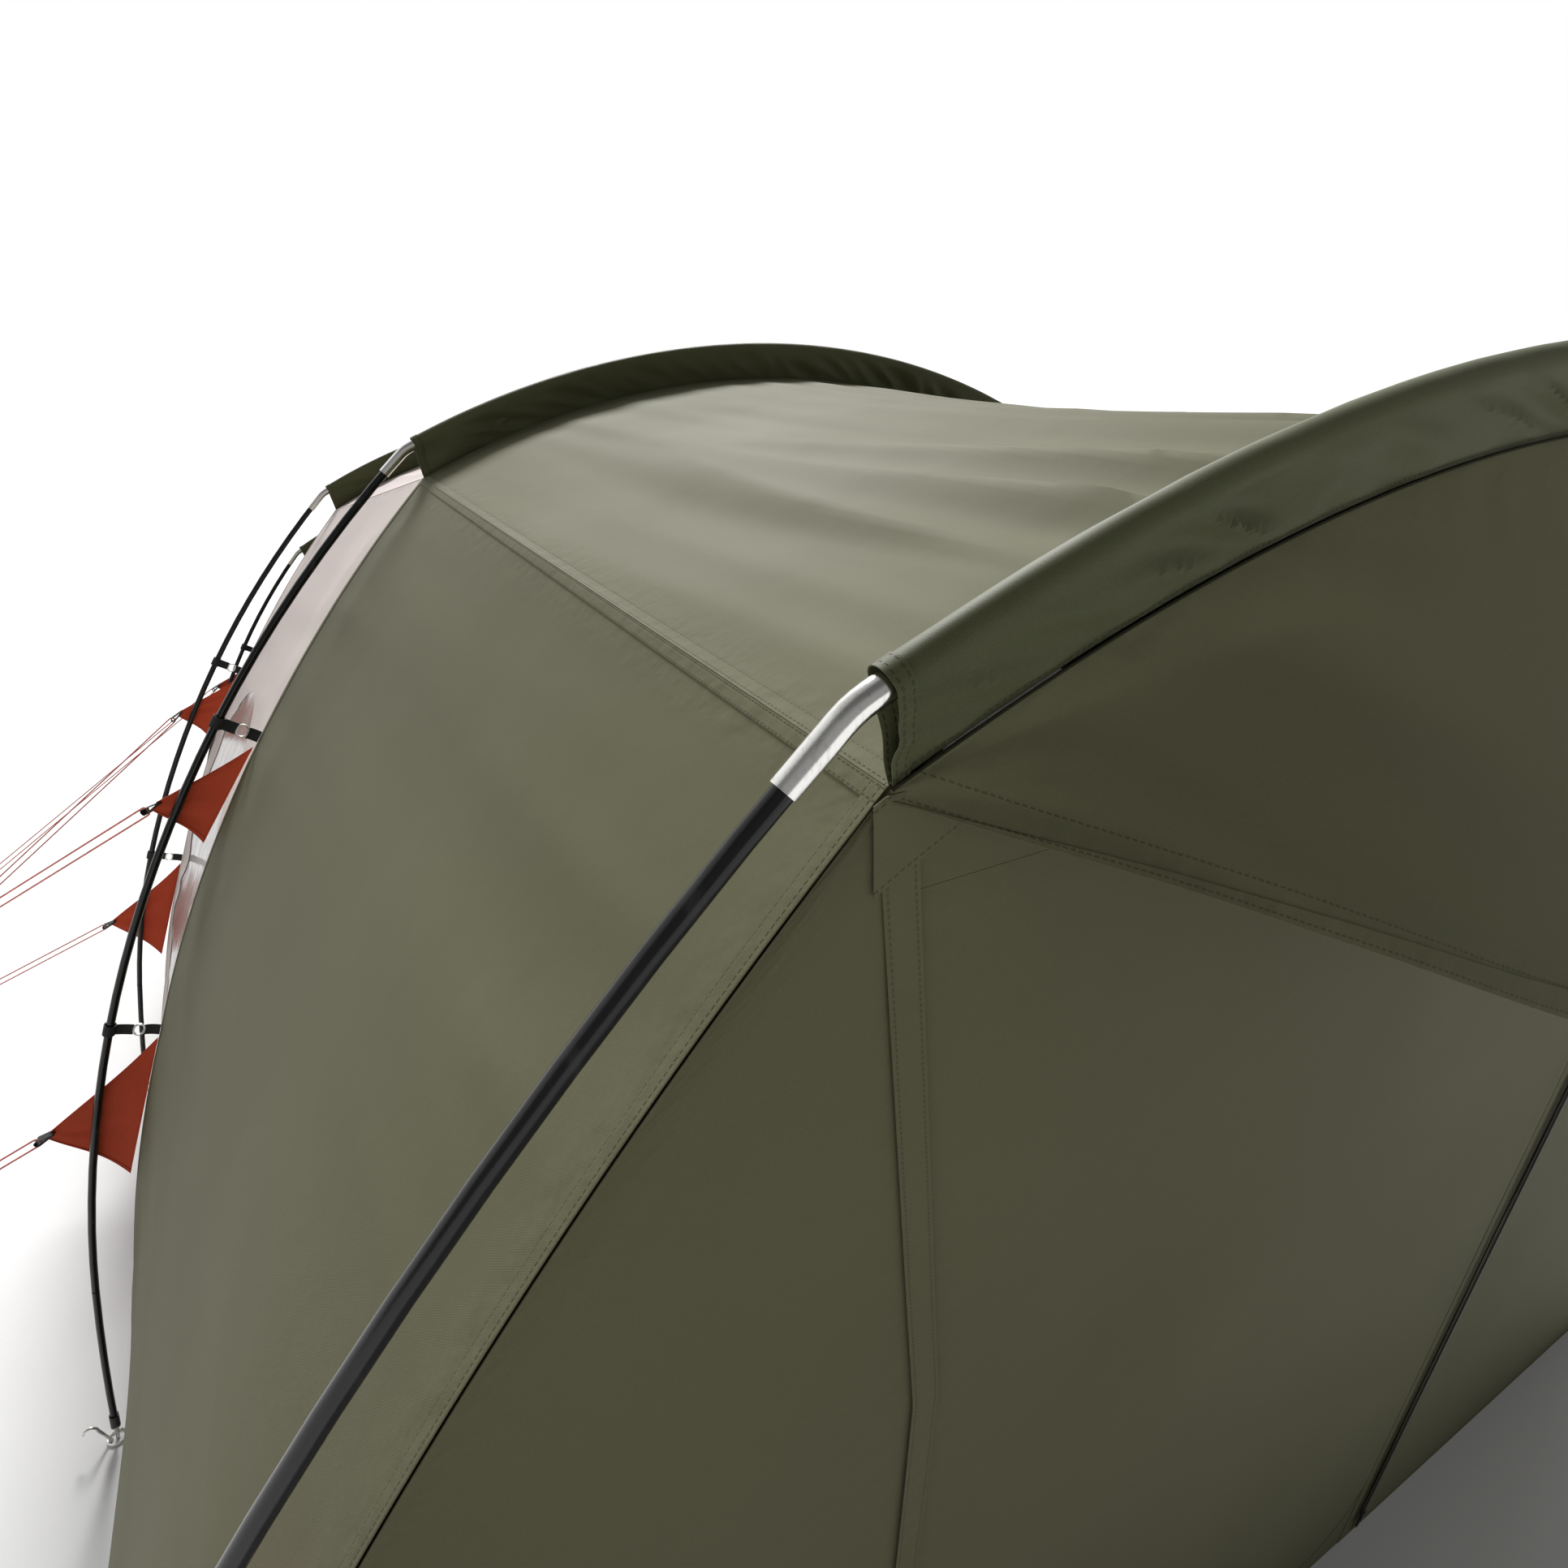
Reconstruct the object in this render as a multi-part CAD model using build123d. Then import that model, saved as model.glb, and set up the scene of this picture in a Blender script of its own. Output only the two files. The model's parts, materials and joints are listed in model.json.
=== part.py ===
from build123d import *
from math import asin, atan2, cos, degrees, hypot, pi, radians, sin, sqrt
import os

# A four-hoop tunnel tent, pitched: sprung rods in sleeves, alloy elbows at the shoulders,
# bare leg rods outside the fabric, and twelve doubled guy lines down to their pegs.
# Millimetres. X is across the tent, Y runs from the door to the back, Z is up.
# The origin is on the ground, midway between the foremost and rearmost pegs.

# ---- driving dimensions ----
FRONT_Y = -1210          # plane of the first hoop
HOOP_STEPS = [1330, 1150, 1000]   # from each hoop to the next one behind it
CREST_HEIGHTS = [2050, 2050, 1884, 1600]
SHOULDER_HALF_WIDTHS = [659, 659, 731, 800]
SHOULDER_ANGLES = [42.4, 42.4, 45, 48]    # slope of each leg just below its elbow
FOOT_ANGLES = [82, 82, 80, 79]            # slope of each leg at the ground
ROD_LENGTHS = [(535, 590, 590), (535, 590, 590), (535, 590, 420), (400, 430, 330)]
TURN_SHARES = [0, 0.325, 0.65, 0.92, 1]   # how much of a leg's turn each rod joint has
CROWN_RADIUS = 1520      # bend of the rods over the roof
LEG_RADIUS = 2400        # bend of the uppermost leg rods, near enough

ROD_DIAMETER = 12.7
ROD_END_GAP = 2          # between two rods inside a ferrule
ELBOW_WALL = 1.3
ELBOW_LOWER_ARM = 50
ELBOW_UPPER_ARM = 60
ELBOW_BEND = 60
ROD_IN_ELBOW = 36
TUBE_CLEARANCE = 0.35    # between a rod and the tube round it, each side
FERRULE_WALL = 1.2
FERRULE_LENGTH = 84

FABRIC = 2               # thickness of a sewn panel with its seams
SLEEVE_DROP = 50         # from a rod's centre down to the seam under its sleeve
SLEEVE_SLACK = 0.9       # between a ferrule and the sleeve round it
SLEEVE_WALL = 1.6
SLEEVE_WEB = 3
SLEEVE_END_BACK = 18     # the sleeve stops this far above the middle of the elbow
SEAM_GAPS = [50, 66, 75, 62, 34]  # from the leg rod in to the wall, at each rod joint

HOOD_REACH = 205
HOOD_DROP = 428          # from the crest down to the hem
HOOD_QUARTER = (318, 148, 328)    # half-width, reach and drop of the hem's bend

DOOR_HINGE_X = -570
DOOR_LATCH_X = 520
DOOR_TOP = 1790
DOOR_SILL = 45
DOOR_CORNER = 160
DOOR_GAP = 3             # round the leaf
ZIP_TRACK_WIDTH = 14
ZIP_SLIDER_LIFT = 40     # from the sill up to the parked slider
SLIDER_SIZE = (16, 7, 34)

WINDOW_MARGIN = 150      # from the hoops
WINDOW_SILL = 560
WINDOW_TOP = 1330
WINDOW_RISE = 170        # of its curved top edge

VENT_WIDTH = 620
VENT_HEIGHT = 300
VENT_SILL = 1010
VENT_STAND_OFF = 4

TRIANGLES = {1: (190, 90, 0.8), 2: (300, 132, 0.68)}  # at each rod joint: height, reach, apex
TRIANGLE_THICK = 1.6
TRIANGLE_DROP = 22       # from a ferrule's middle down to the triangle
TRIANGLE_ASIDE = 10      # behind the rod, so that the two pass
LOOP_WIDTH = 16
LOOP_LENGTH = 26
LOOP_TAPE = 1.6
STRAP_WIDTH = 20
STRAP_THICK = 1.6
RING_LENGTH = 24
RING_WIDTH = 18
RING_WIRE = 2.8
FIT_GAP = 0.3            # between sewn pieces and the hardware they hold
CORD_DIAMETER = 3
CORD_FOLD = 7            # radius of the cord where it goes through its webbing loop
RUNNER_SIZE = (58, 26, 9)
RUNNER_CLEARANCE = 0.6
RUNNER_UP_THE_LINE = 260
RUNNER_TRAVEL = 350

CAP_WALL = 1.8
CAP_LENGTH = 34
PIN_DIAMETER = 7
FOOT_LIFT = 42           # bottom of the last rod above the ground
FOOT_RING = (17, 4)      # ring radius and wire diameter
PEG_DIAMETER = 6
PEG_STANDS = 46          # how far a driven peg stands out of the ground
PEG_HOOK = 11
PEG_LEAN = 0.3           # outward, for each unit up
PEG_TIE = 0.8            # share of the peg's height at which a line is tied
GROUNDSHEET = 2
GROUNDSHEET_GAP = 26

# Ground place of each guy line's peg on the left side: hoop, rod joint, (x, y).
GUYS = {
    "hoop_1_upper": (0, 1, (-2300, -2261)),
    "hoop_2_upper": (1, 1, (-2800, 1690)),
    "hoop_2_lower": (1, 2, (-2800, 490)),
    "hoop_3_upper": (2, 1, (-2650, 1240)),
    "hoop_3_lower": (2, 2, (-2800, 1420)),
    "hoop_4_upper": (3, 1, (-2500, 2120)),
}

HOOPS = range(len(CREST_HEIGHTS))
HOOP_Y = [FRONT_Y + sum(HOOP_STEPS[:i]) for i in HOOPS]
SEAM_RADIUS = CROWN_RADIUS - SLEEVE_DROP
TUBE_BORE = ROD_DIAMETER / 2 + TUBE_CLEARANCE    # radius inside every tube on a rod
FERRULE_RADIUS = TUBE_BORE + FERRULE_WALL
SLEEVE_BORE = FERRULE_RADIUS + SLEEVE_SLACK
SLEEVE_LOOP = SLEEVE_BORE + SLEEVE_WALL          # outer radius of the fold round the rod
SIDES = {"left": -1, "right": 1}

os.makedirs("parts", exist_ok=True)


reach = [0, 0, 0, 0]     # how far the saved pieces run along -X, X, -Y and Y


def save(name, solids):
    """Write one node: its solids as one STEP file."""
    solids = [s for part in solids for s in part.solids()]
    for solid in solids:
        box = solid.bounding_box()
        sides = (-box.min.X, box.max.X, -box.min.Y, box.max.Y)
        reach[:] = [max(*pair) for pair in zip(reach, sides)]
    export_step(Compound(children=solids) if len(solids) > 1 else solids[0],
                f"parts/{name}.step")
    print(name, len(solids))


# ---- hoop lines: the rods' centre line in each hoop's own plane, on the +X side ----

def crown_point(hoop, angle, radius=CROWN_RADIUS):
    """Point on the crown at an angle from the crest, as (x, z)."""
    middle = CREST_HEIGHTS[hoop] - CROWN_RADIUS
    return radius * sin(angle), middle + radius * cos(angle)


def shoulder_angle(hoop):
    return asin(SHOULDER_HALF_WIDTHS[hoop] / CROWN_RADIUS)


def leg_line(hoop):
    """Rod joints down one leg as (x, z, slope), with the middle of each rod between."""
    x, z = crown_point(hoop, shoulder_angle(hoop))
    first, last = radians(SHOULDER_ANGLES[hoop]), radians(FOOT_ANGLES[hoop])
    slopes = [first + (last - first) * share for share in TURN_SHARES]
    nodes = [(x, z, slopes[0])]
    middles = []
    for k in range(4):
        slope = (slopes[k] + slopes[k + 1]) / 2
        turn = slopes[k + 1] - slopes[k]
        length = ROD_LENGTHS[hoop][k] if k < 3 else (z - FOOT_LIFT) / sin(slope)
        bulge = length / turn * (1 - cos(turn / 2))
        middles.append((x + length / 2 * cos(slope) + bulge * sin(slope),
                        z - length / 2 * sin(slope) + bulge * cos(slope), slope))
        x += length * cos(slope)
        z -= length * sin(slope)
        nodes.append((x, z, slopes[k + 1]))
    return nodes, middles


LEGS = [leg_line(hoop) for hoop in HOOPS]


def inward(point, gap):
    """A point of the leg line moved in towards the tent."""
    x, z, slope = point
    return x - gap * sin(slope), z - gap * cos(slope)


def wall_line(hoop, extra=0):
    """Wall seam from the shoulder corner to the ground as arcs (start, middle, end)."""
    nodes, middles = LEGS[hoop]
    points = [crown_point(hoop, shoulder_angle(hoop), SEAM_RADIUS - extra)]
    for k in range(1, 5):
        points.append(inward(nodes[k], SEAM_GAPS[k] + extra))
    x, z = points[-1]
    points[-1] = (x + z * cos(nodes[4][2]) / sin(nodes[4][2]), 0)
    arcs = []
    for k in range(4):
        gap = (SEAM_GAPS[k] + SEAM_GAPS[k + 1]) / 2 + extra
        arcs.append((points[k], inward(middles[k], gap), points[k + 1]))
    return arcs


def at(side, hoop_y, point):
    return (side * point[0], hoop_y, point[1])


# ---- rods, elbows and ferrules ----

def bent_bar(points, outer, inner=0):
    """A bar or tube along an arc through three points."""
    path = ThreePointArc(*points)
    end = Plane(origin=path @ 0, z_dir=path % 0)
    section = end * Circle(outer)
    if inner:
        section -= end * Circle(inner)
    return sweep(section, path=path)


def arc_part(points, start, end):
    """Three points of the part of an arc between two lengths along it."""
    path = ThreePointArc(*points)
    return [path.position_at(s, position_mode=PositionMode.LENGTH)
            for s in (start, (start + end) / 2, end)]


def leg_arc(side, hoop, k):
    nodes, middles = LEGS[hoop]
    y = HOOP_Y[hoop]
    return [at(side, y, p[:2]) for p in (nodes[k], middles[k], nodes[k + 1])]


def length_of(points):
    return ThreePointArc(*points).length


def crown_arc(hoop, start, end, radius=CROWN_RADIUS):
    """Three points of a hoop's crown between two angles from the crest."""
    return [at(1, HOOP_Y[hoop], crown_point(hoop, a, radius))
            for a in (start, (start + end) / 2, end)]


def leg_rods(hoop):
    rods = []
    for side in SIDES.values():
        for k in range(4):
            whole = leg_arc(side, hoop, k)
            start = ELBOW_LOWER_ARM - ROD_IN_ELBOW if k == 0 else ROD_END_GAP / 2
            end = length_of(whole) - (ROD_END_GAP / 2 if k < 3 else 0)
            rods.append(bent_bar(arc_part(whole, start, end), ROD_DIAMETER / 2))
    return rods


def crown_rods(hoop):
    edge = shoulder_angle(hoop) - (ELBOW_UPPER_ARM - ROD_IN_ELBOW) / CROWN_RADIUS
    gap = ROD_END_GAP / 2 / CROWN_RADIUS
    cuts = [-edge, -edge / 3, edge / 3, edge]
    rods = []
    for k in range(3):
        start = cuts[k] + (gap if k else 0)
        end = cuts[k + 1] - (gap if k < 2 else 0)
        rods.append(bent_bar(crown_arc(hoop, start, end), ROD_DIAMETER / 2))
    return rods, cuts[1:3]


def elbow(side, hoop):
    """Alloy connector: two straight arms with a rolled bend at the shoulder."""
    nodes, _ = LEGS[hoop]
    x, z, slope = nodes[0]
    upper = shoulder_angle(hoop)
    # the arms follow the chords of the rods inside them
    down = slope + ELBOW_LOWER_ARM / 2 / LEG_RADIUS
    up = upper - ELBOW_UPPER_ARM / 2 / CROWN_RADIUS
    top = (x - ELBOW_UPPER_ARM * cos(up), z + ELBOW_UPPER_ARM * sin(up))
    low = (x + ELBOW_LOWER_ARM * cos(down), z - ELBOW_LOWER_ARM * sin(down))
    points = [at(side, HOOP_Y[hoop], p) for p in (low, (x, z), top)]
    path = FilletPolyline(*points, radius=ELBOW_BEND)
    end = Plane(origin=path @ 0, z_dir=path % 0)
    return sweep(end * Circle(TUBE_BORE + ELBOW_WALL) - end * Circle(TUBE_BORE), path=path)


def ferrules(hoop, crown_joints):
    half = FERRULE_LENGTH / 2
    tubes = []
    for side in SIDES.values():
        for k in range(3):
            above, below = leg_arc(side, hoop, k), leg_arc(side, hoop, k + 1)
            end = length_of(above)
            tubes.append(bent_bar(arc_part(above, end - half, end), FERRULE_RADIUS, TUBE_BORE)
                         + bent_bar(arc_part(below, 0, half), FERRULE_RADIUS, TUBE_BORE))
    reach = half / CROWN_RADIUS
    for angle in crown_joints:
        arc = crown_arc(hoop, angle - reach, angle + reach)
        tubes.append(bent_bar(arc, FERRULE_RADIUS, TUBE_BORE))
    return tubes


def foot_cap(side, hoop):
    """Moulded cap on the last rod, with the steel pin that drops into the foot ring."""
    x, z, slope = LEGS[hoop][0][4]
    down = Vector(side * cos(slope), 0, -sin(slope))
    foot = Plane(origin=at(side, HOOP_Y[hoop], (x, z)), z_dir=down)
    cap = foot * Pos(0, 0, -CAP_LENGTH + 6) * Cylinder(
        TUBE_BORE + CAP_WALL, CAP_LENGTH, align=(Align.CENTER, Align.CENTER, Align.MIN))
    bore = foot * Pos(0, 0, -CAP_LENGTH) * Cylinder(
        TUBE_BORE, CAP_LENGTH, align=(Align.CENTER, Align.CENTER, Align.MIN))
    pin = foot * Cylinder(PIN_DIAMETER / 2, 2 * FOOT_LIFT,
                          align=(Align.CENTER, Align.CENTER, Align.MIN))
    ground = Pos(x * side, HOOP_Y[hoop], -100) * Box(400, 400, 200)
    return (cap - bore) + (pin - ground)


elbows, tubes, caps, rings, straps, foot_pegs = [], [], [], [], [], []
for hoop in HOOPS:
    rods, joints = crown_rods(hoop)
    save(f"hoop_{hoop + 1}_crown_rods", rods)
    save(f"hoop_{hoop + 1}_leg_rods", leg_rods(hoop))
    tubes += ferrules(hoop, joints)
    for side in SIDES.values():
        elbows.append(elbow(side, hoop))
        caps.append(foot_cap(side, hoop))
save("shoulder_elbows", elbows)
save("rod_ferrules", tubes)
save("foot_caps_with_pins", caps)
print("leg feet", [tuple(round(v) for v in LEGS[h][0][4][:2]) for h in HOOPS])
print("wall feet", [round(wall_line(h)[3][2][0]) for h in HOOPS])


# ---- sleeves and panels of the flysheet ----

def sleeve(hoop):
    """Fold of fabric round the crown rods, its two layers sewn together down to the seam."""
    edge = degrees(shoulder_angle(hoop) - SLEEVE_END_BACK / CROWN_RADIUS)
    y, middle = HOOP_Y[hoop], CREST_HEIGHTS[hoop] - CROWN_RADIUS
    level = Plane(origin=(0, y, middle), x_dir=(0, 1, 0), z_dir=(1, 0, 0))
    web = Polygon((-SLEEVE_WEB / 2, SEAM_RADIUS), (SLEEVE_WEB / 2, SEAM_RADIUS),
                  (SLEEVE_LOOP * 0.97, CROWN_RADIUS - 2), (-SLEEVE_LOOP * 0.97, CROWN_RADIUS - 2),
                  align=None)
    fold = web + Pos(0, CROWN_RADIUS) * Circle(SLEEVE_LOOP) - Pos(0, CROWN_RADIUS) * Circle(SLEEVE_BORE)
    axis = Axis((0, y, middle), (0, 1, 0))
    return revolve((level * fold).rotate(axis, -edge), axis, 2 * edge)


def strip_face(arcs, inner_arcs, side, y):
    """Flat face between an outer and an inner line of arcs in one hoop's plane."""
    edges = [ThreePointArc(*[at(side, y, p) for p in arc]) for arc in arcs]
    edges += [ThreePointArc(*[at(side, y, p) for p in arc]) for arc in inner_arcs]
    for k in (0, -1):
        end = 0 if k == 0 else 2
        edges.append(Line(at(side, y, arcs[k][end]), at(side, y, inner_arcs[k][end])))
    return make_face(edges)


def wall_panel(side, front, back):
    faces = []
    for hoop in (front, back):
        faces.append(strip_face(wall_line(hoop), wall_line(hoop, FABRIC), side, HOOP_Y[hoop]))
    return loft(faces, ruled=True)


def roof_panel(front, back):
    faces = []
    for hoop in (front, back):
        edge = shoulder_angle(hoop)
        outer = [[crown_point(hoop, a, SEAM_RADIUS) for a in (-edge, 0, edge)]]
        inner = [[crown_point(hoop, a, SEAM_RADIUS - FABRIC) for a in (-edge, 0, edge)]]
        faces.append(strip_face(outer, inner, 1, HOOP_Y[hoop]))
    return loft(faces, ruled=True)


def end_outline(hoop, y, back):
    """Face bounded by one hoop's seam and the ground, standing FABRIC thick."""
    edge = shoulder_angle(hoop)
    edges = [ThreePointArc(*[at(1, y, crown_point(hoop, a, SEAM_RADIUS - FABRIC - 1))
                             for a in (-edge, 0, edge)])]
    for side in SIDES.values():
        arcs = wall_line(hoop, FABRIC + 1)
        edges += [ThreePointArc(*[at(side, y, p) for p in arc]) for arc in arcs]
    foot = wall_line(hoop, FABRIC + 1)[3][2]
    edges.append(Line(at(-1, y, foot), at(1, y, foot)))
    face = make_face(edges)
    return extrude(face, FABRIC, dir=(0, 1 if back else -1, 0))


def window_cutter(side):
    """Prism through the middle wall with the window's outline, its top edge an arc."""
    y0, y1 = HOOP_Y[1] + WINDOW_MARGIN, HOOP_Y[2] - WINDOW_MARGIN
    shoulder = WINDOW_TOP - WINDOW_RISE
    outline = [Line((y0, WINDOW_SILL), (y1, WINDOW_SILL)), Line((y1, WINDOW_SILL), (y1, shoulder)),
               ThreePointArc((y1, shoulder), ((y0 + y1) / 2, WINDOW_TOP), (y0, shoulder)),
               Line((y0, shoulder), (y0, WINDOW_SILL))]
    face = make_face(outline)
    plane = Plane(origin=(side * 500, 0, 0), x_dir=(0, 1, 0), z_dir=(side, 0, 0))
    if side < 0:
        plane = Plane(origin=(side * 500, 0, 0), x_dir=(0, 1, 0), z_dir=(1, 0, 0))
    return extrude(plane * face, 1500, dir=(side, 0, 0))


PANEL_NAMES = ["front", "middle", "rear"]
windows = []
for hoop in HOOPS:
    save(f"hoop_{hoop + 1}_sleeve", [sleeve(hoop)])
for k, name in enumerate(PANEL_NAMES):
    save(f"roof_{name}_panel", [roof_panel(k, k + 1)])
    for side_name, side in SIDES.items():
        wall = wall_panel(side, k, k + 1)
        if name == "middle":
            cutter = window_cutter(side)
            windows.append(wall & cutter)
            wall = wall - cutter
        save(f"{side_name}_wall_{name}_panel", [wall])

save("side_windows", windows)

# ---- front: hood, wall, door and zip ----

def front_hood():
    """Rain hood: from the seam under the first sleeve out to its free hem."""
    y = HOOP_Y[0] - 2
    edge = shoulder_angle(0)
    corner_x, corner_z = crown_point(0, edge, SEAM_RADIUS)
    bend_x, bend_y, bend_drop = HOOD_QUARTER
    bend_z, hem_z = CREST_HEIGHTS[0] - bend_drop, CREST_HEIGHTS[0] - HOOD_DROP
    seam = ThreePointArc(*[at(1, y, crown_point(0, a, SEAM_RADIUS)) for a in (-edge, 0, edge)])
    hem = Spline((-corner_x, y - 1, corner_z - 6), (-bend_x, y - bend_y, bend_z),
                 (0, y - HOOD_REACH, hem_z),
                 (bend_x, y - bend_y, bend_z), (corner_x, y - 1, corner_z - 6))
    return thicken(Face.make_surface_from_curves(seam.edge(), hem.edge()), FABRIC)


front_y = HOOP_Y[0]
front_wall = end_outline(0, front_y + FABRIC, False)
leaf_width = DOOR_LATCH_X - DOOR_HINGE_X
leaf_height = DOOR_TOP - DOOR_SILL
door_middle = ((DOOR_HINGE_X + DOOR_LATCH_X) / 2, front_y + FABRIC, (DOOR_TOP + DOOR_SILL) / 2)
door_plane = Plane(origin=door_middle, x_dir=(1, 0, 0), z_dir=(0, -1, 0))


def door_shape(shrink):
    shape = Rectangle(leaf_width - 2 * shrink, leaf_height - 2 * shrink)
    corners = shape.vertices().group_by(Axis.X)[-1]
    return extrude(door_plane * fillet(corners, DOOR_CORNER - shrink), FABRIC)


hole = door_shape(0)
leaf = door_shape(DOOR_GAP)
front_wall = front_wall - hole
wall_foot = wall_line(0)[3][2][0]
beside_door = Box(2 * wall_foot, 10 * FABRIC, 2 * CREST_HEIGHTS[0])
left = Pos(DOOR_HINGE_X - wall_foot, front_y, 0) * beside_door
right = Pos(DOOR_LATCH_X + wall_foot, front_y, 0) * beside_door
save("front_wall_left", [front_wall & left])
save("front_wall_right", [front_wall & right])
save("front_lintel_and_sill", [front_wall - left - right])
save("front_door", [leaf])
save("front_hood", [front_hood()])
track_x = DOOR_LATCH_X + 2 * ZIP_TRACK_WIDTH
track = Pos(track_x, front_y - FABRIC - FIT_GAP, (DOOR_TOP - DOOR_CORNER + DOOR_SILL) / 2) * Box(
    ZIP_TRACK_WIDTH, FABRIC, DOOR_TOP - DOOR_CORNER - DOOR_SILL)
save("door_zip_track", [track])
slider_width, slider_depth, slider_height = SLIDER_SIZE
slider_y = front_y - 2 * (FABRIC + FIT_GAP) - slider_depth / 2
slider = Pos(track_x, slider_y, DOOR_SILL + ZIP_SLIDER_LIFT) * Box(
    slider_width, slider_depth, slider_height)
slider = fillet(slider.edges().filter_by(Axis.Y), 3)
save("door_zip_slider", [slider])

# ---- back: wall, vent mesh and vent flap ----
back_y = HOOP_Y[-1]
back_wall = end_outline(3, back_y - FABRIC, True)
vent = Pos(0, back_y, VENT_SILL + VENT_HEIGHT / 2) * Box(VENT_WIDTH, 20, VENT_HEIGHT)
save("rear_vent_mesh", [back_wall & vent])
save("rear_wall", [back_wall - vent])
flap = Pos(0, back_y + VENT_STAND_OFF, VENT_SILL + VENT_HEIGHT / 2) * Box(
    VENT_WIDTH + 60, FABRIC, VENT_HEIGHT + 60)
save("rear_vent_flap", [flap])

# ---- groundsheet ----
outline = [(wall_line(h)[3][2][0] - GROUNDSHEET_GAP, HOOP_Y[h]) for h in HOOPS]
outline[0] = (outline[0][0], outline[0][1] + GROUNDSHEET_GAP)
outline[-1] = (outline[-1][0], outline[-1][1] - GROUNDSHEET_GAP)
floor = Polygon(*outline, *[(-x, y) for x, y in reversed(outline)], align=None)
save("groundsheet", [extrude(floor, GROUNDSHEET)])

# ---- feet: rings, straps and pegs ----

def peg(x, y, lean):
    """The part of a driven wire peg that stands out of the ground, leaning out, with its hook."""
    ax, ay = lean
    top = Vector(x + ax * PEG_STANDS * PEG_LEAN, y + ay * PEG_STANDS * PEG_LEAN, PEG_STANDS)
    foot = Vector(x, y, 0)
    side = Vector(ax, ay, 0)
    hook = [top, top + Vector(0, 0, PEG_HOOK) + side * PEG_HOOK * 0.6,
            top + side * (2 * PEG_HOOK + 2) + Vector(0, 0, 2)]
    path = Line(foot, top)
    shank = sweep(Plane(origin=foot, z_dir=top - foot) * Circle(PEG_DIAMETER / 2), path=path)
    level = Pos(0, 0, -20) * Box(20000, 20000, 40)
    return shank + bent_bar(hook, PEG_DIAMETER / 2 * 0.98) - level


ring_radius, ring_wire = FOOT_RING
for hoop in HOOPS:
    for side in SIDES.values():
        x, z, slope = LEGS[hoop][0][4]
        tip_x = x + z * cos(slope) / sin(slope)
        y = HOOP_Y[hoop]
        rings.append(Pos(side * tip_x, y, ring_wire / 2 + 1) * Torus(ring_radius, ring_wire / 2))
        wall_x = wall_line(hoop)[3][2][0]
        start, end = wall_x + 1, tip_x - ring_radius - ring_wire / 2 - 0.5
        straps.append(Pos(side * (start + end) / 2, y, 3) * Box(end - start, STRAP_WIDTH, STRAP_THICK))
        foot_pegs.append(peg(side * (tip_x + ring_radius - ring_wire / 2 - PEG_DIAMETER / 2 - 2), y,
                             (side, 0)))
save("foot_rings", rings)
save("foot_webbing", straps)

# ---- guy points: straps, triangles, webbing loops, lines, runners and pegs ----

def joint_frame(hoop, joint, side):
    """Plane at a rod joint: X out from the tent, Y up the leg, Z along the tent."""
    x, z, slope = LEGS[hoop][0][joint]
    return Plane(origin=at(side, HOOP_Y[hoop], (x, z)),
                 x_dir=(side * sin(slope), 0, cos(slope)), z_dir=(0, -side, 0))


def pole_strap(frame, gap):
    """Webbing round a ferrule, the oval ring it holds, and the tab that ties the ring to the wall."""
    inner = FERRULE_RADIUS + FIT_GAP
    outer = inner + STRAP_THICK
    ring_x = -(outer + gap) / 2
    to_ring = -ring_x - RING_WIDTH / 2 - FIT_GAP
    band = Cylinder(outer, STRAP_WIDTH) - Cylinder(inner, STRAP_WIDTH)
    band = Rot(90, 0, 0) * band
    tail_length = to_ring - inner - STRAP_THICK / 2
    tail = Pos(-(to_ring - tail_length / 2), 0, 0) * Box(tail_length, STRAP_WIDTH, STRAP_THICK)
    ring = extrude(Rot(0, 0, 90) * (SlotOverall(RING_LENGTH, RING_WIDTH)
                                    - SlotOverall(RING_LENGTH - 2 * RING_WIRE,
                                                  RING_WIDTH - 2 * RING_WIRE)),
                   RING_WIRE / 2, both=True)
    ring = Pos(ring_x, 0, 0) * ring
    tab_start = ring_x - RING_WIDTH / 2 - FIT_GAP
    tab_length = gap - FABRIC + tab_start
    tab = Pos(tab_start - tab_length / 2, 0, 0) * Box(tab_length, STRAP_WIDTH, STRAP_THICK)
    return frame * (band + tail), frame * ring, frame * tab


def guy_triangle(frame, gap, joint, aside):
    height, reach, apex_share = TRIANGLES[joint]
    base = -gap + FABRIC
    top, bottom = -TRIANGLE_DROP, -TRIANGLE_DROP - height
    apex = (reach - gap, top - apex_share * height)
    tip = Polygon((base, top), (base, bottom), (apex[0], apex[1] - LOOP_WIDTH / 2),
                  (apex[0], apex[1] + LOOP_WIDTH / 2), align=None)
    flat = Pos(0, 0, aside) * extrude(tip, TRIANGLE_THICK / 2, both=True)
    return frame * flat, frame.from_local_coords((apex[0], apex[1], aside))


def guy_line(apex, place):
    """Axes of one guy line: where it turns in its loop, where it ends, and its directions."""
    foot = Vector(place[0], place[1], 0)
    lean = (Vector(place[0], place[1], 0) - Vector(apex.X, apex.Y, 0)).normalized()
    hold = foot + (lean * PEG_LEAN + Vector(0, 0, 1)) * PEG_STANDS * PEG_TIE
    along = (hold - apex).normalized()
    across = (Vector(0, 0, 1) - along * along.Z).normalized()
    turn = apex + along * LOOP_LENGTH
    end = hold - across * CORD_FOLD - along * (PEG_DIAMETER / 2 + CORD_DIAMETER)
    along = (end - turn).normalized()
    across = (Vector(0, 0, 1) - along * along.Z).normalized()
    return turn, end, along, across, lean


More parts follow.
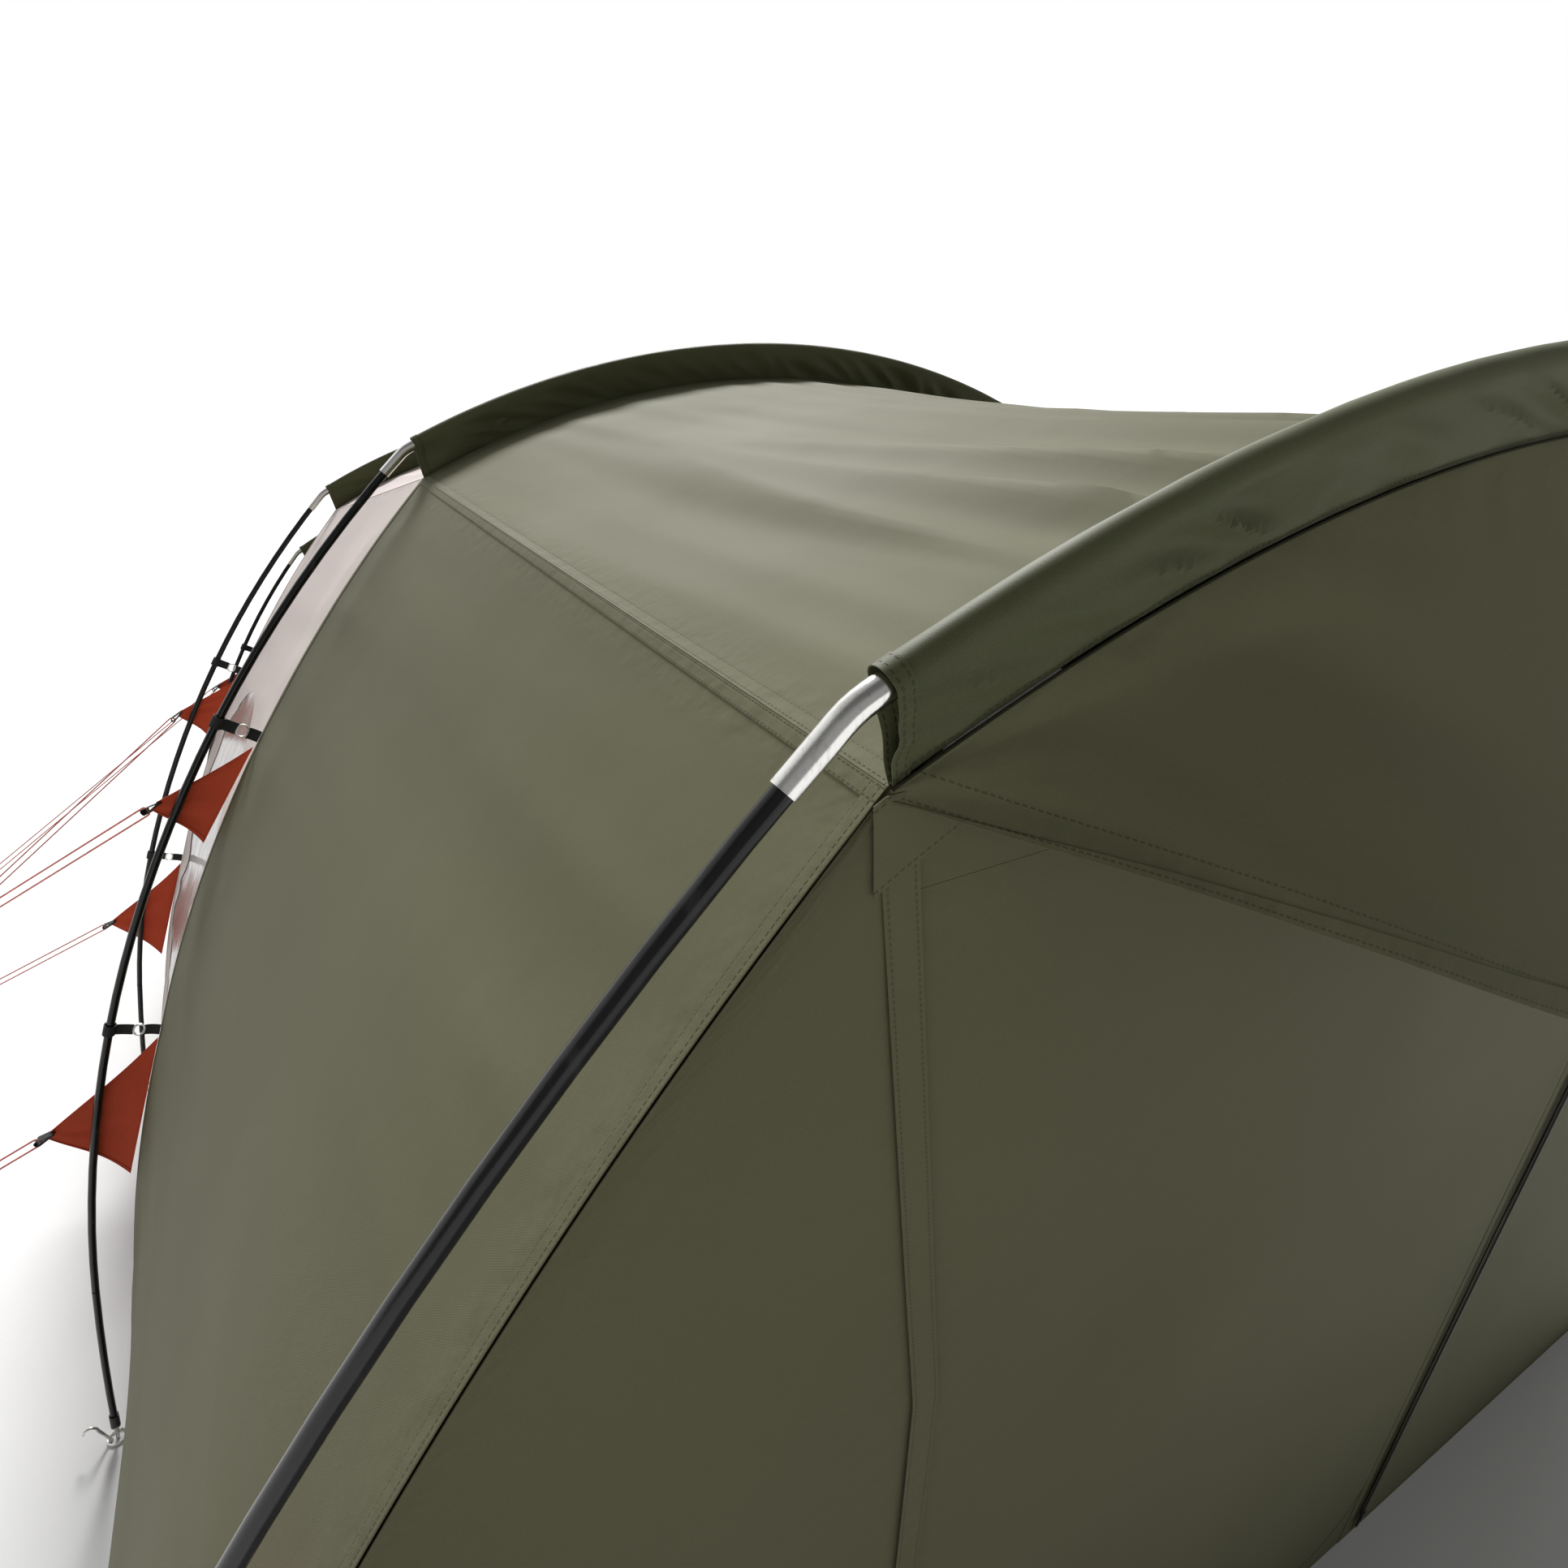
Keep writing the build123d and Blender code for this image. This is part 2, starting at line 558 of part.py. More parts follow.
def webbing_loop(apex, along, across):
    """Tape folded over the cord and sewn to a triangle's tip."""
    frame = Plane(origin=apex, x_dir=along, z_dir=along.cross(across))
    fold = CORD_FOLD - CORD_DIAMETER / 2 - FIT_GAP
    bar = Pos(LOOP_LENGTH, 0, 0) * Cylinder(fold, LOOP_WIDTH)
    side = Box(LOOP_LENGTH - 1.2, 2 * fold - 1, LOOP_TAPE)
    solid = bar
    for k in (-1, 1):
        solid += Pos(LOOP_LENGTH / 2 + 0.6, 0, k * (LOOP_WIDTH - LOOP_TAPE) / 2) * side
    root = Pos(3.2, 0, 0) * Box(4, 2 * fold - 1, LOOP_WIDTH)
    return frame * (solid + root)


def cord_points(turn, end, along, across):
    """The doubled line: up from the peg, through the loop and back down to its runner."""
    up, down = across * CORD_FOLD, across * -CORD_FOLD
    back = turn - along * CORD_FOLD
    tail = end - along * (RUNNER_UP_THE_LINE - RUNNER_SIZE[0] * 0.7)
    return [end + up, back + up, back + down, tail + down]


def cord(points):
    path = FilletPolyline(*points, radius=CORD_FOLD - 0.25)
    tube = sweep(Plane(origin=path @ 0, z_dir=path % 0) * Circle(CORD_DIAMETER / 2), path=path)
    share = tube.volume / (pi * CORD_DIAMETER ** 2 / 4 * path.length)
    print(f"  length {path.length:.0f}, bend radius {CORD_FOLD - 0.25}, volume share {share:.4f}")
    return tube


def runner(end, along, across):
    """Moulded three-hole slider that sets the length of the line."""
    length, height, depth = RUNNER_SIZE
    middle = end - along * RUNNER_UP_THE_LINE
    frame = Plane(origin=middle, x_dir=along, z_dir=along.cross(across))
    body = extrude(fillet(Rectangle(length, height).vertices(), 7), depth / 2, both=True)
    hole = Rot(0, 90, 0) * Cylinder(CORD_DIAMETER / 2 + RUNNER_CLEARANCE, 2 * length)
    waist = Cylinder(3.4, 2 * depth)
    return frame * (body - Pos(0, CORD_FOLD, 0) * hole - Pos(0, -CORD_FOLD, 0) * hole - waist)


triangles, loops, guy_straps, guy_rings, tabs, runners, pegs = [], [], [], [], [], [], foot_pegs
for name, (hoop, joint, place) in GUYS.items():
    for side_name, side in SIDES.items():
        frame = joint_frame(hoop, joint, side)
        gap = SEAM_GAPS[joint]
        strap, ring, tab = pole_strap(frame, gap)
        guy_straps.append(strap)
        guy_rings.append(ring)
        tabs.append(tab)
        triangle, apex = guy_triangle(frame, gap, joint, -side * TRIANGLE_ASIDE)
        triangles.append(triangle)
        turn, end, along, across, lean = guy_line(apex, (place[0] * -side, place[1]))
        loops.append(webbing_loop(apex, along, across))
        pegs.append(peg(place[0] * -side, place[1], (lean.X, lean.Y)))
        points = cord_points(turn, end, along, across)
        save(f"guy_line_{side_name}_{name}", [cord(points)])
        print("  points", [tuple(round(v, 1) for v in p) for p in points])
        slider = runner(end, along, across)
        if name == "hoop_2_lower":
            save(f"guy_runner_{side_name}", [slider])
            print("  runner slides along", tuple(round(v, 5) for v in -along))
        else:
            runners.append(slider)
save("guy_runners", runners)
save("guy_triangles", triangles)
save("guy_loops", loops)
save("pole_straps", guy_straps)
save("strap_rings", guy_rings)
save("wall_tabs", tabs)
save("ground_pegs", pegs)
print("reach along -X, X, -Y, Y", [round(side, 2) for side in reach])
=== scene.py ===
import json
from math import asin, cos, exp, pi, radians, sin, sqrt

import bpy
from mathutils import Matrix, Vector, noise

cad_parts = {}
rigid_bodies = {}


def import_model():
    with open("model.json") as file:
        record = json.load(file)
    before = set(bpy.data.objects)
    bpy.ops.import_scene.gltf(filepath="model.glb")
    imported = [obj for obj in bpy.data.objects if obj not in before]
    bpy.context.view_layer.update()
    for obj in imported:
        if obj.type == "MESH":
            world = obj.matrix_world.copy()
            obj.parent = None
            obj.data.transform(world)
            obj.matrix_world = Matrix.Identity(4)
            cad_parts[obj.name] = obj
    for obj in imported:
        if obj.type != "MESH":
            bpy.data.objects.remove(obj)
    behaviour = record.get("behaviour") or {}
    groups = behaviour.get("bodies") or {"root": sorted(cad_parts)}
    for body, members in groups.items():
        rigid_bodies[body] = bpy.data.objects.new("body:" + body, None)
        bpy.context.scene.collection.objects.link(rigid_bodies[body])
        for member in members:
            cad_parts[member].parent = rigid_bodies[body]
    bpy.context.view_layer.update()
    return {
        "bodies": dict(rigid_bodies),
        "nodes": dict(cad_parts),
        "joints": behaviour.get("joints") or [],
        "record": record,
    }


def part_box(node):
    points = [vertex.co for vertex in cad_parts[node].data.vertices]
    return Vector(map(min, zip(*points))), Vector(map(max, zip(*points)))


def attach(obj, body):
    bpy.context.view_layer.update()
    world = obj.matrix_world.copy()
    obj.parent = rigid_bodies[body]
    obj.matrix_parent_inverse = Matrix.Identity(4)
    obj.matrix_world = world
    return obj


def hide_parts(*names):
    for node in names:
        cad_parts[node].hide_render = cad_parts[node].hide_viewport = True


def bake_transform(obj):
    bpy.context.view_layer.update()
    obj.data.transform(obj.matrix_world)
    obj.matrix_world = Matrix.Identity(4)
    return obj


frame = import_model()
nodes = frame["nodes"]


# ======== Studio ========
# A pale floor, a soft bank of light high behind the tent, bright air behind it and dim air
# in front. A wide lens is just above and in front of the first shoulder.

IMAGE_SIZE = 1932
FOCAL_LENGTH = 1127.7
SENSOR = 36.0
bpy.ops.object.camera_add()
camera = bpy.context.object
camera.data.sensor_width = SENSOR
camera.data.lens = FOCAL_LENGTH / IMAGE_SIZE * SENSOR
camera.data.clip_end = 200
turn = Matrix.Rotation(radians(-28.972), 4, "Z")
tip = Matrix.Rotation(radians(90 - 25.274), 4, "X")
roll = Matrix.Rotation(radians(0.392), 4, "Z")
camera.matrix_world = Matrix.Translation((-0.876, -1.537, 2.046)) @ turn @ tip @ roll
bpy.context.scene.camera = camera


class Socket:
    """A socket of a finish's nodes, so that shader maths reads as sums."""

    def __init__(self, socket):
        self.socket = socket

    def node(self, kind, settings, sockets, output=0):
        made = self.socket.id_data.nodes.new("ShaderNode" + kind)
        for name, value in settings.items():
            setattr(made, name, value)
        for name, value in sockets.items():
            if isinstance(value, Socket):
                self.socket.id_data.links.new(value.socket, made.inputs[name])
            else:
                made.inputs[name].default_value = value
        return Socket(made.outputs[output])

    def sum(self, operation, *others):
        return self.node("Math", {"operation": operation}, dict(enumerate((self, *others))))

    def __add__(self, other):
        return self.sum("ADD", other)

    def __mul__(self, other):
        return self.sum("MULTIPLY", other)

    def __sub__(self, other):
        return self.sum("SUBTRACT", other)

    def __truediv__(self, other):
        return self.sum("DIVIDE", other)

    def __rsub__(self, other):
        return self * -1 + other

    __radd__ = __add__
    __rmul__ = __mul__

    def ramp(self, start, end):
        """0 up to the start, 1 from the end on, and smooth between them."""
        settings = {"interpolation_type": "SMOOTHSTEP"}
        sockets = {"Value": self, "From Min": start, "From Max": end}
        return self.node("MapRange", settings, sockets)

    def between(self, first, second):
        """The first colour where this is 0, the second where it is 1."""
        return self.node("Mix", {"data_type": "RGBA"}, {0: self, 6: first, 7: second}, 2)

    def noise(self, scale, detail=2.0, stretch=(1, 1, 1)):
        """Even noise, drawn out along an axis that stretch makes small."""
        spot = self.node("VectorMath", {"operation": "MULTIPLY"}, {0: self, 1: stretch})
        return self.node("TexNoise", {}, {"Vector": spot, "Scale": scale, "Detail": detail})

    def parts(self):
        return [self.node("SeparateXYZ", {}, {0: self}, axis) for axis in range(3)]

    def feed(self, shader, name):
        self.socket.id_data.links.new(self.socket, shader.inputs[name])

    def emboss(self, shader):
        """This height, in metres, as the surface's bump."""
        bump = self.node("Bump", {}, {"Strength": 1.0, "Distance": 1.0, "Height": self})
        bump.feed(shader, "Normal")


bpy.ops.mesh.primitive_plane_add(size=160)
floor = bpy.context.object
floor.name = "floor"
paint = bpy.data.materials.new("floor_paint")
paint.use_nodes = True
paint.node_tree.nodes["Principled BSDF"].inputs["Base Color"].default_value = (0.75, 0.75, 0.75, 1)
paint.node_tree.nodes["Principled BSDF"].inputs["Roughness"].default_value = 0.9
floor.data.materials.append(paint)

sky = bpy.data.worlds.new("studio_air")
bpy.context.scene.world = sky
sky.use_nodes = True
way = Socket(sky.node_tree.nodes.new("ShaderNodeTexCoord").outputs["Generated"])
_, deep, high = way.parts()
FRONT_AIR, ZENITH_DIM = 0.28, 0.6
behind = deep.ramp(-0.15, 0.30) * (1 - FRONT_AIR) + FRONT_AIR
brightness = behind * (1 - high.ramp(0.5, 0.9) * ZENITH_DIM)
brightness.feed(sky.node_tree.nodes["Background"], "Color")
bpy.context.scene.view_settings.view_transform = "Standard"

SUN_FROM = Vector((0.42, 1.25, 1.0))
bpy.ops.object.light_add(type="SUN")
lamp = bpy.context.object
lamp.name = "overhead_bank"
lamp.data.energy = 5.2
lamp.data.angle = radians(20)
lamp.rotation_euler = SUN_FROM.to_track_quat("Z", "Y").to_euler()


# ======== Guy lines ========
# Twelve doubled lines of 3 mm braided polyester cord. Each is tied off at its peg, runs up
# through the webbing loop on its orange triangle and comes back down to its runner.

CORD = 0.003
FOLD_RUN = 0.020         # from the fold in the loop to the first point down the line
# The left side's lines: where the peg holds each, its two turns in the loop, its runner.
GUY_LINES = {
    "hoop_1_upper": (3.886, (-2.3048, -2.2653, 0.0406), (-1.1442, -1.2128, 1.3608),
                     (-1.1375, -1.2068, 1.3501), (-2.1737, -2.1466, 0.1713)),
    "hoop_2_upper": (5.047, (-2.8043, 1.6940, 0.0398), (-1.1446, 0.1436, 1.3642),
                     (-1.1394, 0.1388, 1.3521), (-2.6606, 1.5598, 0.1382)),
    "hoop_2_lower": (2.970, (-2.8056, 0.4915, 0.0396), (-1.4473, 0.1351, 0.7863),
                     (-1.4410, 0.1334, 0.7739), (-2.6118, 0.4406, 0.1302)),
    "hoop_3_upper": (3.437, (-2.6563, 1.2398, 0.0404), (-1.2057, 1.2795, 1.1453),
                     (-1.1972, 1.2797, 1.1342), (-2.4733, 1.2448, 0.1622)),
    "hoop_3_lower": (2.615, (-2.8055, 1.4206, 0.0390), (-1.5049, 1.2821, 0.5733),
                     (-1.4996, 1.2816, 0.5604), (-2.5982, 1.3985, 0.1090)),
    "hoop_4_upper": (2.993, (-2.5060, 2.1193, 0.0400), (-1.1726, 2.2777, 0.9134),
                     (-1.1650, 2.2786, 0.9017), (-2.3158, 2.1419, 0.1479)),
}
SIDES = {"left": -1, "right": 1}


def new_finish(name, roughness, metallic=0.0, specular=0.5):
    """A finish, its shader, and the place on the object as a socket."""
    finish = bpy.data.materials.new(name)
    finish.use_nodes = True
    tree = finish.node_tree
    shader = tree.nodes["Principled BSDF"]
    shader.inputs["Roughness"].default_value = roughness
    shader.inputs["Metallic"].default_value = metallic
    shader.inputs["Specular IOR Level"].default_value = specular
    return finish, shader, Socket(tree.nodes.new("ShaderNodeTexCoord").outputs["Object"])


def dye(red, green, blue):
    """A colour as on a dyer's card, 0 to 255, for a shader."""
    return (*[((c / 255 + 0.055) / 1.055) ** 2.4 for c in (red, green, blue)], 1)


def tube(name, radius, route, order, rings):
    """A round cord along a smooth line that is led by the points of its route."""
    curve = bpy.data.curves.new(name, "CURVE")
    curve.dimensions = "3D"
    curve.bevel_depth = radius
    curve.bevel_resolution = rings
    line = curve.splines.new("NURBS")
    line.points.add(len(route) - 1)
    for point, spot in zip(line.points, route):
        point.co = (*spot, 1)
    line.order_u = order
    line.use_endpoint_u = True
    line.resolution_u = 12
    piece = bpy.data.objects.new(name, curve)
    bpy.context.collection.objects.link(piece)
    return piece


def fit(piece, finish, node=None, body="tent"):
    """Gives a piece its finish and its place in the frame."""
    piece.data.materials.append(finish)
    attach(piece, body)
    if node:
        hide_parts(node)


cord_finish, shader, place = new_finish("braided_cord", 0.6)
plait = (place.noise(900, 1) + place.noise(260, 2)) * 0.5
plait.ramp(0.38, 0.62).between(dye(188, 70, 60), dye(224, 128, 116)).feed(shader, "Base Color")
(plait * 0.0004).emboss(shader)

for name, (length, peg_end, fold_high, fold_low, runner_end) in GUY_LINES.items():
    for side, sign in SIDES.items():
        ends = [Vector((-sign * x, y, z)) for x, y, z in (peg_end, fold_high, fold_low, runner_end)]
        down = (ends[0] - ends[1]).normalized() * FOLD_RUN
        route = [ends[0], ends[1] + down, ends[1], ends[2], ends[2] + down, ends[3]]
        piece = tube(f"cord_{side}_{name}", CORD / 2, route, 3, 3)
        piece.data.use_fill_caps = True
        fit(piece, cord_finish, f"guy_line_{side}_{name}")


# ======== Rods ========
# Sprung glass-fibre rods, 12.7 mm thick, with a glossy black skin. They slot together end
# to end and bend into each hoop; the roof's rods lie inside the sleeves.

def coat(node, finish):
    """Gives a CAD piece its finish."""
    for slot in nodes[node].material_slots:
        slot.material = finish


rod_finish, shader, place = new_finish("black_rod", 0.2, specular=0.35)
scuffs = place.noise(60, 4, (1, 1, 0.25)).ramp(0.56, 0.72)
scuffs.between(dye(15, 15, 15), dye(36, 35, 34)).feed(shader, "Base Color")
(place.noise(25, 3) * 0.12 + 0.12 + scuffs * 0.1).feed(shader, "Roughness")
(place.noise(500, 2, (1, 1, 0.05)) * 0.00003).emboss(shader)
for hoop in range(4):
    coat(f"hoop_{hoop + 1}_crown_rods", rod_finish)
    coat(f"hoop_{hoop + 1}_leg_rods", rod_finish)


# ======== Elbows, ferrules, rings and pegs ========
# The shoulder elbows are drawn aluminium tube, bent and left bright. The ferrules that
# join the rods are rolled steel tube, and the rings and pegs are plated steel wire.

elbow_finish, shader, place = new_finish("bright_alloy", 0.2, 1.0)
scratches = place.noise(420, 5, (1, 1, 0.35)).ramp(0.5, 0.8)
scratches.between(dye(240, 239, 235), dye(214, 212, 206)).feed(shader, "Base Color")
(place.noise(12, 2) * 0.10 + 0.14 + scratches * 0.08).feed(shader, "Roughness")
(place.noise(700, 3, (1, 1, 0.1)) * 0.00003 + scratches * 0.00001).emboss(shader)
coat("shoulder_elbows", elbow_finish)

steel_finish, shader, place = new_finish("plated_steel", 0.35, 1.0)
tarnish = place.noise(45, 4).ramp(0.45, 0.7)
tarnish.between(dye(226, 225, 220), dye(168, 166, 160)).feed(shader, "Base Color")
(tarnish * 0.2 + 0.28).feed(shader, "Roughness")
(place.noise(600, 3) * 0.00005).emboss(shader)
for node in ("rod_ferrules", "foot_rings", "strap_rings", "ground_pegs"):
    coat(node, steel_finish)


# ======== Foot caps and runners ========
# Black nylon mouldings: a cap with a steel pin on the end of every leg, and the runners
# that set the length of each guy line.

PIN_TOP = 0.040          # the pins show below this height

cap_finish, shader, place = new_finish("moulded_nylon", 0.45)
grain = place.noise(1400, 3)
height = place.parts()[2]
steel = 1 - height.ramp(PIN_TOP - 0.0005, PIN_TOP)
steel.between(dye(30, 30, 31), dye(196, 194, 188)).feed(shader, "Base Color")
steel.feed(shader, "Metallic")
(grain * 0.2 + 0.35).feed(shader, "Roughness")
(grain * 0.00006).emboss(shader)
coat("foot_caps_with_pins", cap_finish)

runner_finish, shader, place = new_finish("moulded_runner", 0.42)
grain = place.noise(1400, 3)
rubbed = place.noise(120, 3).ramp(0.55, 0.75)
rubbed.between(dye(28, 28, 29), dye(64, 63, 62)).feed(shader, "Base Color")
(grain * 0.2 + 0.32).feed(shader, "Roughness")
(grain * 0.00006).emboss(shader)
for node in ("guy_runners", "guy_runner_left", "guy_runner_right"):
    coat(node, runner_finish)


# ======== Sleeves ========
# A strip of darker olive cloth folded over the crown rods of each hoop, and sewn to itself
# and to the roof along the seam below. Each end has a folded hem just above the elbow.

HOOP_Y = [-1.210, 0.120, 1.270, 2.270]
CREST = [2.050, 2.050, 1.884, 1.600]
SHOULDER_HALF = [0.659, 0.659, 0.731, 0.800]
CROWN_RADIUS = 1.520
SEAM_RADIUS = 1.470
SLEEVE_LOOP = 0.0110     # radius of the fold round the rods
SLEEVE_WEB = 0.0012
SLEEVE_CREASE = 0.0060
CLOTH = 0.0010
HEM_RISE = 0.0009        # how far the extra layer of a hem or seam stands up
SEWN = 0.012             # width of a sewn hem

shoulder_angle = [asin(half / CROWN_RADIUS) for half in SHOULDER_HALF]


def crown(hoop, angle, radius):
    """Point over one hoop at an angle from its crest, as (x, z)."""
    return radius * sin(angle), CREST[hoop] - CROWN_RADIUS + radius * cos(angle)


def spaced(count, length, first, last):
    """Places of a grid's lines from 0 to 1, with close lines where each hem is folded."""
    start = [hem_share * first / length for hem_share in (0, 0.5, 0.96, 1)] if first else [0]
    end = [1 - hem_share * last / length for hem_share in (1, 0.96, 0.5, 0)] if last else [1]
    inner = [start[-1] + (end[0] - start[-1]) * k / count for k in range(1, count)]
    return start + inner + end


def sew(name, shape, size, cells, hems=(0, 0, 0, 0), thick=CLOTH, offset=-1,
        middle=(0, 0.5, 0.8), hole=None):
    """One piece of cloth: a grid laid out by shape(u, v), with its hems raised, any hole cut,
    its width and length in metres as the UV maps near and far, and its thickness."""
    across = spaced(cells[0], size[0], hems[0], hems[1])
    along = spaced(cells[1], size[1], hems[2], hems[3])
    last = (len(across) - 1, len(along) - 1)
    bpy.ops.mesh.primitive_grid_add(x_subdivisions=last[0], y_subdivisions=last[1], size=1)
    piece = bpy.context.object
    piece.name = name
    mesh = piece.data
    cell = [(round((v.co.x + 0.5) * last[0]), round((v.co.y + 0.5) * last[1]))
            for v in mesh.vertices]
    spot = {c: Vector(shape(across[c[0]], along[c[1]])) for c in cell}
    reach = {}
    for i, j in sorted(spot):
        width = reach[i - 1, j][0] + (spot[i, j] - spot[i - 1, j]).length if i else 0
        length = reach[i, j - 1][1] + (spot[i, j] - spot[i, j - 1]).length if j else 0
        reach[i, j] = (width, length)
    rest = {(i, j): (reach[last[0], j][0] - reach[i, j][0], reach[i, last[1]][1] - reach[i, j][1])
            for i, j in spot}
    mesh.uv_layers[0].name = "near"
    mesh.uv_layers.new(name="far")
    corners = [cell[loop.vertex_index] for loop in mesh.loops]
    mesh.uv_layers["near"].data.foreach_set("uv", [d for c in corners for d in reach[c]])
    mesh.uv_layers["far"].data.foreach_set("uv", [d for c in corners for d in rest[c]])
    for vertex, c in zip(mesh.vertices, cell):
        vertex.co = spot[c]
    mesh.update()
    if sum(v.normal.dot(v.co - Vector(middle)) for v in mesh.vertices) < 0:
        bpy.ops.object.mode_set(mode="EDIT")
        bpy.ops.mesh.select_all(action="SELECT")
        bpy.ops.mesh.flip_normals()
        bpy.ops.object.mode_set(mode="OBJECT")
        mesh.update()
    normals = [v.normal.copy() for v in mesh.vertices]
    for vertex, normal, (i, j) in zip(mesh.vertices, normals, cell):
        in_hem = (hems[0] and i < 3, hems[1] and i > last[0] - 3,
                  hems[2] and j < 3, hems[3] and j > last[1] - 3)
        if any(in_hem):
            vertex.co += normal * HEM_RISE
    if hole:
        bpy.ops.object.mode_set(mode="EDIT")
        bpy.ops.mesh.select_mode(type="FACE")
        bpy.ops.mesh.select_all(action="DESELECT")
        bpy.ops.object.mode_set(mode="OBJECT")
        for face in mesh.polygons:
            face.select = hole(face.center)
        bpy.ops.object.mode_set(mode="EDIT")
        bpy.ops.mesh.delete(type="FACE")
        bpy.ops.object.mode_set(mode="OBJECT")
    bpy.ops.object.modifier_add(type="SOLIDIFY")
    solidify = piece.modifiers[-1]
    solidify.thickness = thick
    solidify.offset = offset
    solidify.use_even_offset = True
    bpy.ops.object.modifier_apply(modifier=solidify.name)
    bpy.ops.object.shade_smooth_by_angle(angle=radians(40))
    return piece


def edges(place):
    """How far a spot is, in metres, from two edges of its piece and from the other two."""
    return [place.node("UVMap", {"uv_map": name}, {}) for name in ("near", "far")]


def dashes(distance, along, row):
    """A row of stitches at one distance from an edge."""
    thread = 1 - (distance - row).sum("ABSOLUTE").ramp(0.0004, 0.0009)
    return thread * (along / 0.0045).sum("FRACT").sum("LESS_THAN", 0.62)


def cloth(name, light, dark, roughness=0.78, side_rows=(), end_rows=(), hem_rows=(),
          crumple=0.0016, pucker=0.0016):
    """A sewn cloth's finish: weave, mottling, soft creases, puckered edges and stitches."""
    finish, shader, place = new_finish(name, roughness, specular=0.15)
    near, far = edges(place)
    near_x, near_y, _ = near.parts()
    far_x, far_y, _ = far.parts()
    side = near_x.sum("MINIMUM", far_x)
    end = near_y.sum("MINIMUM", far_y)
    weave = (near_x * (2 * pi / 0.0011)).sum("SINE") * (near_y * (2 * pi / 0.0011)).sum("SINE")
    cloud = place.noise(1.7, 3)
    thread = place.noise(1100, 2)
    shade = (cloud - 0.5) * 0.9 + (thread - 0.5) * 0.7 + 0.5
    colour = shade.ramp(-0.1, 1.1).between(dark, light)
    height = place.noise(7, 3) * crumple + place.noise(38, 2) * (crumple / 9) + weave * 0.00003
    edge = side.sum("MINIMUM", end)
    gather = 1 - edge.ramp(0.004, 0.055)
    height = height + near.noise(42, 2, (1, 1, 0)) * gather * pucker
    stitches = None
    for rows, distance, along in ((side_rows, side, near_y), (end_rows, end, near_x),
                                  (hem_rows, far_y, near_x)):
        for row in rows:
            made = dashes(distance, along, row)
            stitches = made if stitches is None else stitches.sum("MAXIMUM", made)
    if stitches is not None:
        thread_colour = tuple(c * 0.45 for c in dark[:3]) + (1,)
        colour = (stitches * 0.45).between(colour, thread_colour)
        height = height - stitches * 0.0004
    colour.feed(shader, "Base Color")
    height.emboss(shader)
    ((place.noise(3, 2) - 0.5) * 0.12 + roughness).feed(shader, "Roughness")
    shader.inputs["Sheen Weight"].default_value = 0.03
    return finish


def hang(piece, finish, node, body="tent"):
    """Gives a sheet its finish and its place in the frame."""
    fit(piece, finish, node, body)


def sleeve_shape(hoop):
    edge = shoulder_angle[hoop]

    def shape(u, v):
        turn = 2 * v - 1
        side = min(1, max(0, (u - 0.36) / 0.28))
        if u < 0.36 or u > 0.64:
            rise = u / 0.36 if u < 0.36 else (1 - u) / 0.36
            sign = -1 if u < 0.36 else 1
            y = sign * (SLEEVE_WEB + (SLEEVE_LOOP - SLEEVE_WEB) * rise ** 1.4)
            radius = SEAM_RADIUS + 0.0005 + (CROWN_RADIUS - 0.0025 - SEAM_RADIUS) * rise
            slack = sin(pi * rise)
        else:
            bend = radians(-100 + 200 * side)
            y = SLEEVE_LOOP * sin(bend)
            radius = CROWN_RADIUS + SLEEVE_LOOP * cos(bend)
            sign, slack = 1 if y > 0 else -1, 0.08
        height = (radius - SEAM_RADIUS) / (CROWN_RADIUS - SEAM_RADIUS)
        reach = edge - 0.0012 - 0.0105 * min(1, height)
        angle = reach * turn
        lengthways = angle * CROWN_RADIUS
        slant = lengthways * 16 - sign * (radius - SEAM_RADIUS) * 26
        crease = noise.noise(Vector((slant, (radius - SEAM_RADIUS) * 14, hoop * 7 + sign * 3)))
        crease = 0.7 - 3.2 * abs(crease)
        fine = noise.noise(Vector((slant * 2.3, lengthways * 9, hoop * 5 + 20)))
        y += sign * slack * (0.0012 + SLEEVE_CREASE * crease + 0.0016 * fine)
        x, z = crown(hoop, angle, radius)
        return x, HOOP_Y[hoop] + y, z
    return shape


sleeve_cloth = cloth("dark_olive_cloth", dye(94, 95, 68), dye(70, 73, 47), 0.58,
                     side_rows=(0.003,), end_rows=(0.003, 0.009), crumple=0.001, pucker=0.0008)
SLEEVE_WIDTH = 0.134
SLEEVE_LENGTHS = [1.34, 1.34, 1.50, 1.66]
for hoop in range(4):
    piece = sew(f"hoop_{hoop + 1}_sleeve_cloth", sleeve_shape(hoop),
                (SLEEVE_WIDTH, SLEEVE_LENGTHS[hoop]), (34, 260), (0, 0, SEWN, SEWN), 0.0007,
                middle=(0, HOOP_Y[hoop], 1.0))
    hang(piece, sleeve_cloth, f"hoop_{hoop + 1}_sleeve")


# ======== Roof ========
# Three panels of olive cloth, the middle one pale, stretched from seam to seam. They sag
# a little between the hoops, and pull into long ripples from each sleeve.

ROOF_SAG = 0.020
ROOF_RIPPLE = 0.0190
PANELS = ["front", "middle", "rear"]
OLIVE_LIGHT, OLIVE_DARK = dye(104, 103, 78), dye(90, 89, 65)
PALE_LIGHT, PALE_DARK = dye(206, 195, 190), dye(186, 175, 170)


